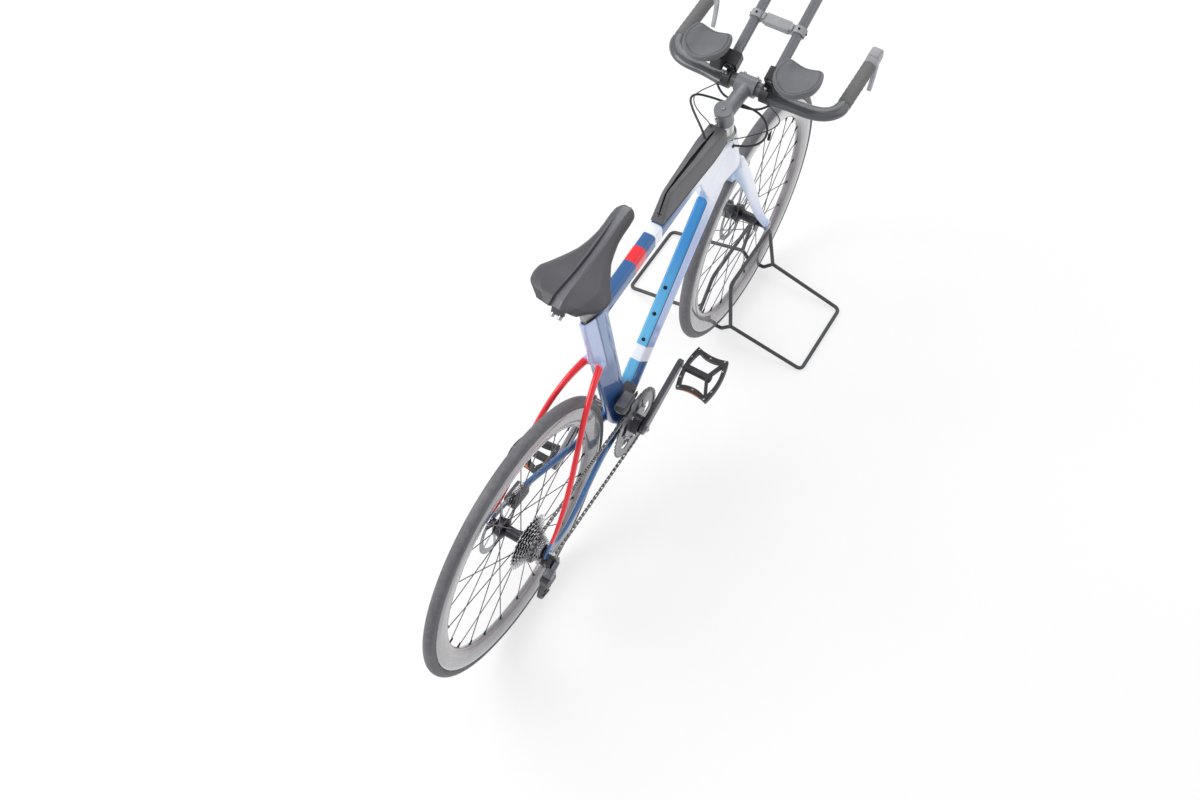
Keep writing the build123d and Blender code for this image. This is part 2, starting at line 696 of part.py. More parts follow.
saddle_sections = [(0.0, 104.0, 22.0, 27.0), (0.05, 148.0, 30.0, 33.0), (0.16, 165.0, 33.0, 36.0),
                   (0.31, 138.0, 33.0, 35.0), (0.48, 88.0, 31.0, 37.0), (0.67, 56.0, 30.0, 42.0),
                   (0.86, 44.0, 28.0, 48.0), (0.96, 36.0, 25.0, 49.0), (1.0, 18.0, 17.0, 43.0)]
with BuildPart() as saddle:
    sections = []
    for share, width, height, top in saddle_sections:
        with BuildSketch() as outline:
            RectangleRounded(width, height, min(width, height) / 2 - 1.5)
        middle = rail_height + top - height / 2
        sections.append((Plane(origin=(saddle_tail_x + share * saddle_length, 0, middle), x_dir=(0, 1, 0),
                               z_dir=(1, 0, 0)), outline.sketch))
    add(loft_of(sections))
    channel_lift = channel_radius - channel_depth
    channel = [(saddle_tail_x + share * saddle_length, 0, rail_height + top + channel_lift)
               for share, top in ((0.1, 34.0), (0.42, 36.0), (0.72, 43.5), (0.93, 49.0))]
    add(round_bar(channel, cord_radii(channel), channel_radius), mode=Mode.SUBTRACT)
    add(saddle_rails.part, mode=Mode.SUBTRACT)
save(saddle.part, "saddle")

stem_clamp_radius = 20.0
box_front = on_axis(head_top + 56.0).X - stem_clamp_radius - 7.0
box_length = 252.0
box_height = 44.0
box_width = 50.0
with BuildPart() as storage_box:
    box_tail = box_front - box_length
    box_shoulder = box_tail + 34.0
    profile = [(box_front, box_width, box_height - 8.0), (box_front - 60.0, box_width, box_height),
               (box_shoulder, box_width - 18.0, box_height + 12.0), (box_tail, box_width - 20.0, 6.0)]
    sections = []
    for x, width, height in profile:
        with BuildSketch() as outline:
            with Locations((0, height / 2)):
                Trapezoid(width, height, 84)
        sections.append((Plane(origin=(x, 0, top_tube_upper(x) + 0.3), x_dir=(0, -1, 0), z_dir=(-1, 0, 0)),
                         outline.sketch))
    add(loft_of(sections, ruled=True))
    with BuildSketch(Plane(origin=(0, 0, top_tube_upper(box_shoulder) + box_height - 2.0), z_dir=(0, 0, 1))):
        with BuildLine():
            Polyline((box_front - 20.0, -1.5), (box_front - 20.0, 1.5), (box_shoulder + 110.0, 4.0),
                     (box_shoulder, 1.5), (box_shoulder, -1.5), (box_shoulder + 110.0, -4.0), close=True)
        make_face()
    extrude(amount=40.0, mode=Mode.SUBTRACT)
    # ports for the other brake hose and shift wire in the lid
    add(port(left_hose_route, hose_radius), mode=Mode.SUBTRACT)
    add(port(left_wire_route, wire_radius), mode=Mode.SUBTRACT)
save(storage_box.part, "storage_box")

# ---------------------------------------------------------------- fork and steering
fork_drop_half = front_hub_width / 2
steerer_top = head_top + 96.0
stem_stack = 44.0
stem_radius = 17.0
stem_reach = 97.7
stem_rise = -30.47
stem_foot = on_axis(steerer_top - stem_stack / 2)
bar_centre = stem_foot + axis_side * stem_reach + axis_dir * stem_rise

with BuildPart() as fork:
    for side in (-1, 1):
        hub_point = Vector(front_x, side * (fork_drop_half + 5.5), wheel_radius)
        route = [(on_axis(crown_low + crown_thickness - 4.0, 2.0, side * 17.0), 26.0, 11.0),
                 (on_axis(crown_low - 20.0, 4.0, side * 31.0), 23.0, 8.5),
                 (on_axis(crown_low - 150.0, 14.0, side * 44.0), 17.0, 7.0),
                 (hub_point + axis_dir * 22.0 - axis_side * 4.0, 11.0, 5.5)]
        along = [route[1][0] - route[0][0], route[2][0] - route[0][0], route[3][0] - route[1][0],
                 route[3][0] - route[2][0]]
        add(loft_of([(Plane(origin=place, x_dir=(0, 1, 0), z_dir=run), oval(width, depth))
                     for (place, depth, width), run in zip(route, along)]))
        inner = fork_drop_half if side > 0 else -fork_drop_half - 11.0
        with BuildSketch(Plane(origin=(front_x, inner, wheel_radius), x_dir=axis_side, z_dir=(0, -1, 0))):
            Circle(13.0)
            with Locations((-4.0, 26.0)):
                Circle(9.0)
            make_hull()
        extrude(amount=-11.0)
    with BuildSketch(Plane(origin=on_axis(crown_low), x_dir=axis_side, z_dir=axis_dir)):
        add(tear(62.0, 64.0, 44.0))
    extrude(amount=crown_thickness)
    with BuildSketch(Plane(origin=on_axis(crown_low + 4.0), z_dir=axis_dir)):
        Circle(steerer_radius)
    extrude(amount=steerer_top - crown_low - 8.0)
    with BuildSketch(Plane(origin=front_centre + Vector(0, -front_hub_width, 0), z_dir=(0, 1, 0))):
        Circle(axle_radius + 0.2)
    extrude(amount=2 * front_hub_width, mode=Mode.SUBTRACT)
    with BuildSketch(Plane(origin=front_centre + Vector(0, -tyre_radius - 7.0, 0), z_dir=(0, 1, 0))):
        Circle(wheel_radius + 7.0)
    extrude(amount=tyre_width + 14.0, mode=Mode.SUBTRACT)
save(fork.part, "fork")

with BuildPart() as front_axle:
    front_half = fork_drop_half + 11.0
    with BuildSketch(Plane(origin=front_centre + Vector(0, -front_half, 0), z_dir=(0, 1, 0))):
        Circle(axle_radius)
    extrude(amount=2 * front_half)
    with BuildSketch(Plane(origin=front_centre + Vector(0, front_half, 0), z_dir=(0, 1, 0))):
        Circle(9.0)
    extrude(amount=5.0)
save(front_axle.part, "front_axle")

with BuildPart() as headset_spacers:
    spacer_top = steerer_top - stem_stack
    with BuildSketch(Plane(origin=on_axis(head_top + headset_gap), z_dir=axis_dir)):
        Circle(headset_cover_radius)
        Circle(steerer_radius, mode=Mode.SUBTRACT)
    extrude(amount=7.0)
    with BuildSketch(Plane(origin=on_axis(head_top + headset_gap), z_dir=axis_dir)):
        Circle(18.0)
        Circle(steerer_radius, mode=Mode.SUBTRACT)
    extrude(amount=spacer_top - head_top - headset_gap)
save(headset_spacers.part, "headset_spacers")

with BuildPart() as stem:
    with BuildSketch(Plane(origin=on_axis(spacer_top), z_dir=axis_dir)):
        Circle(stem_clamp_radius)
    extrude(amount=stem_stack)
    with BuildSketch(Plane(origin=stem_foot, z_dir=bar_centre - stem_foot)):
        Circle(stem_radius)
    extrude(amount=(bar_centre - stem_foot).length)
    with BuildSketch(Plane(origin=bar_centre + Vector(0, -23.0, 0), z_dir=(0, 1, 0))):
        Circle(bar_radius + 5.5)
    extrude(amount=46.0)
    with BuildSketch(Plane(origin=bar_centre + Vector(0, -40.0, 0), z_dir=(0, 1, 0))):
        Circle(bar_radius)
    extrude(amount=80.0, mode=Mode.SUBTRACT)
    with BuildSketch(Plane(origin=on_axis(spacer_top - 10.0), z_dir=axis_dir)):
        Circle(steerer_radius)
    extrude(amount=stem_stack + 20.0, mode=Mode.SUBTRACT)
    add(headset_spacers.part, mode=Mode.SUBTRACT)
save(stem.part, "stem")

with BuildPart() as top_cap:
    with BuildSketch(Plane(origin=on_axis(steerer_top), z_dir=axis_dir)):
        Circle(stem_clamp_radius - 1.0)
    extrude(amount=5.0)
save(top_cap.part, "top_cap")

# ---------------------------------------------------------------- base bar
grip_y = grip_spacing / 2
wing_drop = 9.0
grip_radius = 15.0
grip_start = 60.0
grip_end = 190.0
grip_rise = 12.0
bar_straight = 36.0
lever_pivot = 30.0
lever_bow = 14.0
lever_drop = 108.0
half_bar = [((0, bar_straight - 4.0, 0), (0, 1, 0), bar_radius - 1.5, bar_radius - 1.5),
            ((3.0, 82.0, -wing_drop), (0, 1, 0), 19.0, 11.0),
            ((6.0, 135.0, -wing_drop), (0.06, 1, 0), 18.5, 10.5),
            ((20.0, grip_y - 18.0, -wing_drop), (0.5, 0.85, 0), 17.0, 12.0),
            ((38.0, grip_y - 4.0, -wing_drop), (0.9, 0.44, 0), 16.0, 13.5),
            ((grip_start, grip_y, -wing_drop), (1, 0, 0), grip_radius - 1.0, grip_radius - 1.0)]
with BuildPart() as base_bar:
    with BuildSketch(Plane(origin=bar_centre + Vector(0, -bar_straight, 0), z_dir=(0, 1, 0))):
        Circle(bar_radius)
    extrude(amount=2 * bar_straight)
    for side in (-1, 1):
        sections = []
        for (ahead, out, up), (run_x, run_y, run_z), reach, thick in half_bar:
            bar_plane = Plane(origin=bar_centre + Vector(ahead, side * out, up),
                              x_dir=Vector(run_y, -side * run_x, 0), z_dir=Vector(run_x, side * run_y, run_z))
            sections.append((bar_plane, oval(reach, thick)))
        add(loft_of(sections))
        start = bar_centre + Vector(grip_start, side * grip_y, -wing_drop)
        end = bar_centre + Vector(grip_end, side * grip_y, grip_rise - wing_drop)
        with BuildSketch(Plane(origin=start - (end - start) * 0.03, z_dir=end - start)):
            Circle(grip_radius - 2.5)
        extrude(amount=(end - start).length * 1.03)
save(base_bar.part, "base_bar")

with BuildPart() as bar_grips:
    for side in (-1, 1):
        start = bar_centre + Vector(grip_start, side * grip_y, -wing_drop)
        end = bar_centre + Vector(grip_end, side * grip_y, grip_rise - wing_drop)
        ray = (end - start).normalized()
        with BuildSketch(Plane(origin=start + ray * 2.0, z_dir=ray)):
            Circle(grip_radius)
            Circle(grip_radius - 2.5, mode=Mode.SUBTRACT)
        extrude(amount=(end - start).length - 6.0)
save(bar_grips.part, "bar_grips")

with BuildPart() as brake_levers:
    for side in (-1, 1):
        start = bar_centre + Vector(grip_start, side * grip_y, -wing_drop)
        end = bar_centre + Vector(grip_end, side * grip_y, grip_rise - wing_drop)
        ray = (end - start).normalized()
        lever_face = Plane(origin=end, x_dir=(0, -1, 0), z_dir=ray)
        with BuildSketch(lever_face):
            RectangleRounded(26.0, 30.0, 8.0)
        extrude(amount=lever_pivot + 4.0)
        blade_top = end + ray * lever_pivot + Vector(0, 0, -6.0)
        blade_mid = end + ray * (lever_pivot + lever_bow) + Vector(0, 0, -0.48 * lever_drop)
        blade_tip = end + ray * (lever_pivot + 4.0) + Vector(0, 0, -lever_drop)
        blade = [(blade_top, blade_mid - blade_top, oval(7.0, 5.0)),
                 (blade_mid, blade_tip - blade_top, oval(8.0, 3.5)),
                 (blade_tip, blade_tip - blade_mid, oval(6.0, 3.0))]
        add(loft_of([(Plane(origin=place, x_dir=(0, 1, 0), z_dir=run), section) for place, run, section in blade]))
save(brake_levers.part, "brake_levers")

# ---------------------------------------------------------------- extensions and arm pads
tilt = radians(extension_tilt)
extension_ray = Vector(cos(tilt), 0, sin(tilt))
extension_up = Vector(-sin(tilt), 0, cos(tilt))
extension_y = extension_spacing / 2
extension_foot = bar_centre + Vector(8.0, 0, 20.0)
pad_y = pad_spacing / 2
pad_lift = 56.0
pad_thickness = 18.0
pad_hollow_radius = 75.0
pad_hollow_depth = 7.0
pad_centre = bar_centre + Vector(-2.0, 0, pad_lift)
shifter_length = 58.0
bridge_place = 128.0

with BuildPart() as extensions:
    for side in (-1, 1):
        foot = extension_foot + Vector(0, side * extension_y, 0)
        with BuildSketch(Plane(origin=foot, z_dir=extension_ray)):
            Circle(extension_radius)
            Circle(extension_radius - extension_wall, mode=Mode.SUBTRACT)
        extrude(amount=extension_length)
save(extensions.part, "extensions")

with BuildPart() as shifters:
    for side in (-1, 1):
        foot = extension_foot + Vector(0, side * extension_y, 0)
        with BuildSketch(Plane(origin=foot + extension_ray * extension_length, z_dir=extension_ray)):
            Circle(extension_radius + 1.0)
        extrude(amount=10.0)
        tip = foot + extension_ray * (extension_length + 10.0)
        add(loft_of([(Plane(origin=tip, x_dir=(0, 1, 0), z_dir=extension_ray),
                      oval(extension_radius, extension_radius)),
                     (Plane(origin=tip + extension_ray * shifter_length + extension_up * 8.0, x_dir=(0, 1, 0),
                            z_dir=extension_ray), oval(7.0, 5.0))]))
save(shifters.part, "shifters")

with BuildPart() as arm_pads:
    for side in (-1, 1):
        with BuildSketch(Plane(origin=pad_centre + Vector(0, side * pad_y, 0), z_dir=(0, 0, 1))):
            with BuildLine():
                Line((pad_length / 2, -pad_width * 0.43), (pad_length / 2, pad_width * 0.43))
                Spline((pad_length / 2, pad_width * 0.43), (pad_length * 0.1, pad_width / 2),
                       (-pad_length / 2, 0), (pad_length * 0.1, -pad_width / 2),
                       (pad_length / 2, -pad_width * 0.43))
            make_face()
        extrude(amount=pad_thickness)
        hollow_height = pad_centre.Z + pad_thickness - pad_hollow_depth + pad_hollow_radius
        with BuildSketch(Plane(origin=(pad_centre.X - pad_length, side * pad_y, hollow_height),
                               z_dir=(1, 0, 0))):
            Circle(pad_hollow_radius)
        extrude(amount=2 * pad_length, mode=Mode.SUBTRACT)
save(arm_pads.part, "arm_pads")

with BuildPart() as pad_brackets:
    for side in (-1, 1):
        foot = extension_foot + Vector(0, side * extension_y, 0)
        with BuildSketch(Plane(origin=foot + extension_ray * 2.0, x_dir=(0, 1, 0), z_dir=extension_ray)):
            RectangleRounded(34.0, 36.0, 8.0)
        extrude(amount=30.0)
        clamp_face = bar_centre + Vector(0, side * (extension_y - 13.0), 0)
        with BuildSketch(Plane(origin=clamp_face, z_dir=(0, side, 0))):
            Circle(bar_radius + 6.0)
        extrude(amount=18.0)
        with BuildSketch(Plane(origin=pad_centre + Vector(0, side * pad_y, -6.0), z_dir=(0, 0, 1))):
            RectangleRounded(60.0, 52.0, 8.0)
        extrude(amount=6.0)
        post = Vector(pad_centre.X + 8.0, side * (extension_y + 24.0), bar_centre.Z + 20.0)
        with BuildSketch(Plane(origin=post, z_dir=(0, 0, 1))):
            RectangleRounded(34.0, 30.0, 6.0)
        extrude(amount=pad_centre.Z - 6.0 - post.Z)
        with BuildSketch(Plane(origin=foot + extension_ray * -20.0, z_dir=extension_ray)):
            Circle(extension_radius)
        extrude(amount=extension_length, mode=Mode.SUBTRACT)
    add(base_bar.part, mode=Mode.SUBTRACT)
    add(stem.part, mode=Mode.SUBTRACT)
save(pad_brackets.part, "pad_brackets")

with BuildPart() as bridge_mount:
    bridge_centre = extension_foot + extension_ray * bridge_place
    for side in (-1, 1):
        with BuildSketch(Plane(origin=bridge_centre + Vector(0, side * extension_y, 0) - extension_ray * 8.0,
                               z_dir=extension_ray)):
            Circle(extension_radius + 4.0)
        extrude(amount=16.0)
    with BuildSketch(Plane(origin=bridge_centre + Vector(0, -extension_y, 0), z_dir=(0, 1, 0))):
        Circle(8.5)
    extrude(amount=extension_spacing)
    for side in (-1, 1):
        foot = extension_foot + Vector(0, side * extension_y, 0)
        with BuildSketch(Plane(origin=foot, z_dir=extension_ray)):
            Circle(extension_radius)
        extrude(amount=extension_length, mode=Mode.SUBTRACT)
save(bridge_mount.part, "bridge_mount")

# ---------------------------------------------------------------- hoses and wires
with BuildPart() as brake_hoses:
    for route in (left_hose_route, right_hose_route):
        add(round_bar(route, cord_radii(route), hose_radius))
        print("brake hose arcs, mm:", [round(radius) for radius in cord_radii(route)])
    add(base_bar.part, mode=Mode.SUBTRACT)
save(brake_hoses.part, "brake_hoses")

with BuildPart() as shift_wires:
    for route in (left_wire_route, right_wire_route):
        add(round_bar(route, cord_radii(route), wire_radius))
        print("shift wire arcs, mm:", [round(radius) for radius in cord_radii(route)])
    add(pad_brackets.part, mode=Mode.SUBTRACT)
save(shift_wires.part, "shift_wires")

# ---------------------------------------------------------------- floor stand
rod = rod_diameter / 2
wheel_reach = wheel_radius + rod + rod_seat_gap
cross_half = 22.0
hoop_half_width = 26.0
hoop_rear = -112.0
hoop_front = 105.0
foot_front = 106.0
bend = 14.0


def stand_point(ahead, side, up):
    """Return a stand point measured from the front wheel's floor contact."""
    return Vector(front_x + ahead, side, up)


with BuildPart() as wheel_stand:
    joints = {"rear": -stand_rear_reach, "front": stand_front_reach}
    for ahead in joints.values():
        seat_height = wheel_radius - sqrt(wheel_reach ** 2 - ahead ** 2)
        add(round_bar([stand_point(ahead, -stand_joint_half_width, stand_joint_height),
                       stand_point(ahead, -cross_half, seat_height),
                       stand_point(ahead, cross_half, seat_height),
                       stand_point(ahead, stand_joint_half_width, stand_joint_height)], [8.0, 8.0], rod))
    for side in (-1, 1):
        add(round_bar([stand_point(joints["rear"], side * stand_joint_half_width, stand_joint_height),
                       stand_point(-stand_rear_reach, side * stand_half_width, rod),
                       stand_point(foot_front, side * stand_half_width, rod),
                       stand_point(joints["front"], side * stand_joint_half_width, stand_joint_height)],
                      [bend, bend], rod))
        add(round_bar([stand_point(joints["rear"], side * stand_joint_half_width, stand_joint_height),
                       stand_point(hoop_rear, side * hoop_half_width, hoop_height),
                       stand_point(hoop_front, side * hoop_half_width, hoop_height),
                       stand_point(joints["front"], side * stand_joint_half_width, stand_joint_height)],
                      [bend, bend], rod))
        for ahead in joints.values():
            with Locations(stand_point(ahead, side * stand_joint_half_width, stand_joint_height)):
                Sphere(rod + 1.0)
save(wheel_stand.part, "wheel_stand")

# ---------------------------------------------------------------- chain and derailleurs
ring_radius = sprocket_radius(ring_teeth)
cog_radius = sprocket_radius(cog_teeth)
pulley_radius = sprocket_radius(pulley_teeth)
guide_pulley = Vector(rear_x + 12.0, 0, wheel_radius - 74.0)
tension_pulley = Vector(rear_x + 40.0, 0, wheel_radius - 130.0)
stops = [(bb_centre, ring_radius, 1), (rear_centre, cog_radius, 1), (guide_pulley, pulley_radius, -1),
         (tension_pulley, pulley_radius, 1)]


def belt_run(first, second):
    """Return the two ends of the straight run between two wheels of a belt."""
    (start, start_radius, start_turn), (end, end_radius, end_turn) = first, second
    span = hypot(end.X - start.X, end.Z - start.Z)
    heading = atan2(end.Z - start.Z, end.X - start.X)
    lean = asin((start_turn * start_radius - end_turn * end_radius) / span)
    normal = heading + lean - pi / 2
    near, far = start_turn * start_radius, end_turn * end_radius
    leave = (start.X + near * cos(normal), start.Z + near * sin(normal))
    arrive = (end.X + far * cos(normal), end.Z + far * sin(normal))
    return leave, arrive


def belt_pieces():
    """Return the pitch line's straight runs and arcs in order, each with its length and its place."""
    legs = [belt_run(stops[index], stops[(index + 1) % len(stops)]) for index in range(len(stops))]
    pieces = []
    for index, ((start_x, start_z), (end_x, end_z)) in enumerate(legs):
        length = hypot(end_x - start_x, end_z - start_z)
        ray = Vector((end_x - start_x) / length, 0, (end_z - start_z) / length)
        pieces.append(("run", length, Vector(start_x, 0, start_z), ray, 0.0, 1))
        place, radius, turn = stops[(index + 1) % len(stops)]
        next_x, next_z = legs[(index + 1) % len(stops)][0]
        first = atan2(end_z - place.Z, end_x - place.X)
        last = atan2(next_z - place.Z, next_x - place.X)
        pieces.append(("arc", (last - first) * turn % (2 * pi) * radius, place, first, radius, turn))
    return pieces


def belt_point(pieces, along, out):
    """Return the point a distance along the pitch line and a distance outside it."""
    for kind, length, place, heading, radius, turn in pieces:
        if along <= length:
            break
        along -= length
    if kind == "run":
        return place.X + heading.X * along + heading.Z * out, place.Z + heading.Z * along - heading.X * out
    angle = heading + turn * along / radius
    reach = radius + turn * out
    return place.X + reach * cos(angle), place.Z + reach * sin(angle)


def link_outline():
    """Return the scalloped outer edge of the chain's plates."""
    pieces = belt_pieces()
    total = sum(piece[1] for piece in pieces)
    links = round(total / chain_pitch)
    edge = []
    for index in range(links):
        for share, height in ((0.0, chain_half_height), (0.5, chain_waist_height)):
            edge.append(belt_point(pieces, (index + share) * total / links, height))
    with BuildSketch() as outline:
        with BuildLine():
            Polyline(*edge, close=True)
        make_face()
    return outline.sketch


def belt_sketch(offset_out):
    """Return the chain loop's side view, grown outwards by an amount."""
    grown = [(place, radius + turn * offset_out, turn) for place, radius, turn in stops]
    legs = [belt_run(grown[index], grown[(index + 1) % len(grown)]) for index in range(len(grown))]
    with BuildSketch() as outline:
        with BuildLine():
            for index, (leave, arrive) in enumerate(legs):
                Line(leave, arrive)
                place, radius, turn = grown[(index + 1) % len(grown)]
                next_leave = legs[(index + 1) % len(grown)][0]
                first = atan2(arrive[1] - place.Z, arrive[0] - place.X)
                last = atan2(next_leave[1] - place.Z, next_leave[0] - place.X)
                sweep_angle = (last - first) * turn % (2 * pi) * turn
                middle = first + sweep_angle / 2
                crest = (place.X + radius * cos(middle), place.Z + radius * sin(middle))
                ThreePointArc(arrive, crest, next_leave)
        make_face()
    return outline.sketch


with BuildPart() as chain:
    with BuildSketch(Plane(origin=(0, -chain_line - chain_width / 2, 0), x_dir=(1, 0, 0), z_dir=(0, -1, 0))):
        add(link_outline())
        add(belt_sketch(-chain_half_height), mode=Mode.SUBTRACT)
    extrude(amount=-chain_width)
    with BuildSketch(Plane(origin=(0, -chain_line - chain_channel_width / 2, 0), x_dir=(1, 0, 0),
                           z_dir=(0, -1, 0))):
        add(belt_sketch(chain_channel_top))
        add(belt_sketch(-2 * chain_half_height), mode=Mode.SUBTRACT)
    extrude(amount=-chain_channel_width, mode=Mode.SUBTRACT)
save(chain.part, "chain")

cage_gap = chain_width / 2 + 1.2
cage_thickness = 2.0
pulley_disc_radius = pulley_radius - chain_half_height - 0.3
with BuildPart() as derailleur_cage:
    for face in (-chain_line - cage_gap - cage_thickness, -chain_line + cage_gap):
        with BuildSketch(Plane(origin=(0, face, 0), x_dir=(1, 0, 0), z_dir=(0, -1, 0))):
            for place in (guide_pulley, tension_pulley):
                with Locations((place.X, place.Z)):
                    Circle(12.0)
            make_hull()
        extrude(amount=-cage_thickness)
    for place in (guide_pulley, tension_pulley):
        with BuildSketch(Plane(origin=place + Vector(0, -chain_line - cage_gap, 0), z_dir=(0, 1, 0))):
            Circle(pulley_disc_radius)
        extrude(amount=2 * cage_gap)
save(derailleur_cage.part, "derailleur_cage")

hanger_foot = Vector(rear_x - 6.0, 0, wheel_radius - 26.0)
with BuildPart() as rear_derailleur:
    outer_face = -dropout_inner - dropout_thickness
    with BuildSketch(Plane(origin=(0, outer_face, 0), x_dir=(1, 0, 0), z_dir=(0, -1, 0))):
        with Locations((rear_x, wheel_radius - 18.0)):
            Circle(7.0)
        with Locations((hanger_foot.X, hanger_foot.Z - 4.0)):
            Circle(11.0)
        make_hull()
    extrude(amount=10.0)
    knuckle = Vector(hanger_foot.X, outer_face - 8.0, hanger_foot.Z - 4.0)
    cage_head = Vector(guide_pulley.X, -chain_line - cage_gap - cage_thickness - 12.0, guide_pulley.Z)
    add(loft_of([(Plane(origin=knuckle, x_dir=(1, 0, 0), z_dir=cage_head - knuckle), oval(14.0, 12.0)),
                 (Plane(origin=cage_head, x_dir=(1, 0, 0), z_dir=cage_head - knuckle), oval(13.0, 11.0))]))
    with BuildSketch(Plane(origin=(guide_pulley.X, -chain_line - cage_gap - cage_thickness, guide_pulley.Z),
                           z_dir=(0, -1, 0))):
        Circle(15.0)
    extrude(amount=24.0)
    motor_place = (hanger_foot.X - 22.0, outer_face - 22.0, hanger_foot.Z - 34.0)
    with BuildSketch(Plane(origin=motor_place, z_dir=(0, 1, 0))):
        RectangleRounded(30.0, 34.0, 6.0)
    extrude(amount=20.0)
save(rear_derailleur.part, "rear_derailleur")

fd_centre = bb_centre + Vector(-4.0, 0, ring_radius + 10.0)
with BuildPart() as front_derailleur:
    with BuildSketch(Plane(origin=fd_centre + Vector(0, -34.0, 18.0), x_dir=(1, 0, 0), z_dir=(0, -1, 0))):
        RectangleRounded(48.0, 34.0, 7.0)
    extrude(amount=-22.0)
    for face in (-chain_line - 8.0, -chain_line + 6.0):
        with BuildSketch(Plane(origin=(0, face, 0), x_dir=(1, 0, 0), z_dir=(0, -1, 0))):
            with Locations((fd_centre.X - 8.0, fd_centre.Z)):
                RectangleRounded(66.0, 20.0, 5.0)
        extrude(amount=-1.6)
    cage_bridge = (fd_centre.X - 8.0, -chain_line - 8.0, fd_centre.Z + 7.0)
    with BuildSketch(Plane(origin=cage_bridge, z_dir=(0, 0, 1))):
        with Locations((0, 14.0)):
            Rectangle(20.0, 28.0)
    extrude(amount=3.0)
    add(main_frame.part, mode=Mode.SUBTRACT)
save(front_derailleur.part, "front_derailleur")

# ---------------------------------------------------------------- brake calipers
rotor_slot = 3.4
caliper_inner = 11.0
caliper_outer = 17.0
for name, wheel in wheels.items():
    centre = wheel["centre"]
    if name == "rear":
        block = centre + Vector(78.0, 0, 10.0)
        block_dir = Vector(1, 0, -0.12).normalized()
        carrier = chain_stays.part
    else:
        block = centre + Vector(-52.0, 0, 62.0)
        block_dir = axis_dir
        carrier = fork.part
    with BuildPart() as caliper:
        with BuildSketch(Plane(origin=block + Vector(0, wheel["rotor"] - caliper_inner, 0), x_dir=block_dir,
                               z_dir=(0, -1, 0))):
            RectangleRounded(58.0, 30.0, 8.0)
        extrude(amount=-(caliper_inner + caliper_outer))
        slot_face = centre + Vector(0, wheel["rotor"] - rotor_slot / 2, 0)
        with BuildSketch(Plane(origin=slot_face, z_dir=(0, 1, 0))):
            Circle(wheel["rotor_radius"] + 3.0)
        extrude(amount=rotor_slot, mode=Mode.SUBTRACT)
        add(carrier, mode=Mode.SUBTRACT)
        add(seat_stays.part, mode=Mode.SUBTRACT)
    save(caliper.part, f"{name}_caliper")
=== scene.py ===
"""Looks of a triathlon bike in its front wheel floor stand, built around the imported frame.

Everything is in metres in the part's own frame: +X forward, +Y to the rider's
left, +Z up, with the origin on the floor midway between the axles. Tables of
shapes are in millimetres.
"""
from __future__ import annotations

import logging
import math
from dataclasses import dataclass
from enum import Enum
from functools import partialmethod
from typing import Callable, Optional, Sequence

import bmesh
import bpy
import numpy as np
from mathutils import Matrix, Vector
from mathutils.bvhtree import BVHTree

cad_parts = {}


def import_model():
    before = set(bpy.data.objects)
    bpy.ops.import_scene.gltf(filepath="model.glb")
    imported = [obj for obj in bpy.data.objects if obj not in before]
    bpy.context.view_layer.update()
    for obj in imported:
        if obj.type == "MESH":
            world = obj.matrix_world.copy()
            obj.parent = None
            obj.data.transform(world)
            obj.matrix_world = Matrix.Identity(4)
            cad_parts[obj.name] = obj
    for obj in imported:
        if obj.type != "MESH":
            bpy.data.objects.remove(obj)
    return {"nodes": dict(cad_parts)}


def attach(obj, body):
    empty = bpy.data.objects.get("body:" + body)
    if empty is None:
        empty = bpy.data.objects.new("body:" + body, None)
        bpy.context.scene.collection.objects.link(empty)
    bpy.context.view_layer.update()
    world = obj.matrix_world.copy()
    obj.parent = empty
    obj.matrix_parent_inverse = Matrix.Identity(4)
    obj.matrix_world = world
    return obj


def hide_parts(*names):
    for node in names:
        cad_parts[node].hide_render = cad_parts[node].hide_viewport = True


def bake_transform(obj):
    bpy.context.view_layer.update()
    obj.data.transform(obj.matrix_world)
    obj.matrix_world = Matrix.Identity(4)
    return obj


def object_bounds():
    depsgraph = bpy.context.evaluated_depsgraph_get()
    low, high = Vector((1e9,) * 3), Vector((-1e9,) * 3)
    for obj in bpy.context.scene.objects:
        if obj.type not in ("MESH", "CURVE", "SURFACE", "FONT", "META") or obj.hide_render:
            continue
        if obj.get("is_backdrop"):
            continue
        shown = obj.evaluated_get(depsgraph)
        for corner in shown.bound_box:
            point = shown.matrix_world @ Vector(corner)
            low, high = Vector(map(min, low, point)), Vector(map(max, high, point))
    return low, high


log = logging.getLogger("bike")

Colour = tuple[float, float, float]
Keys = Sequence[tuple[float, float]]
Piece = bpy.types.Object
MM = 0.001
TURN = 2 * math.pi
SIDE, UP, AHEAD = Vector((0, 1, 0)), Vector((0, 0, 1)), Vector((1, 0, 0))


def rgb(red: int, green: int, blue: int) -> Colour:
    """Return a display colour, 0 to 255, as linear light."""
    shares = (value / 255 for value in (red, green, blue))
    return tuple(share / 12.92 if share <= 0.04045 else ((share + 0.055) / 1.055) ** 2.4 for share in shares)


def mm(x: float, y: float, z: float) -> Vector:
    """Return a place given in millimetres."""
    return Vector((x, y, z)) * MM


def polar(angle: float, radius: float = 1.0) -> Vector:
    """Return a place round the Y axis, its angle counted from +X up to +Z."""
    return Vector((math.cos(angle), 0, math.sin(angle))) * radius


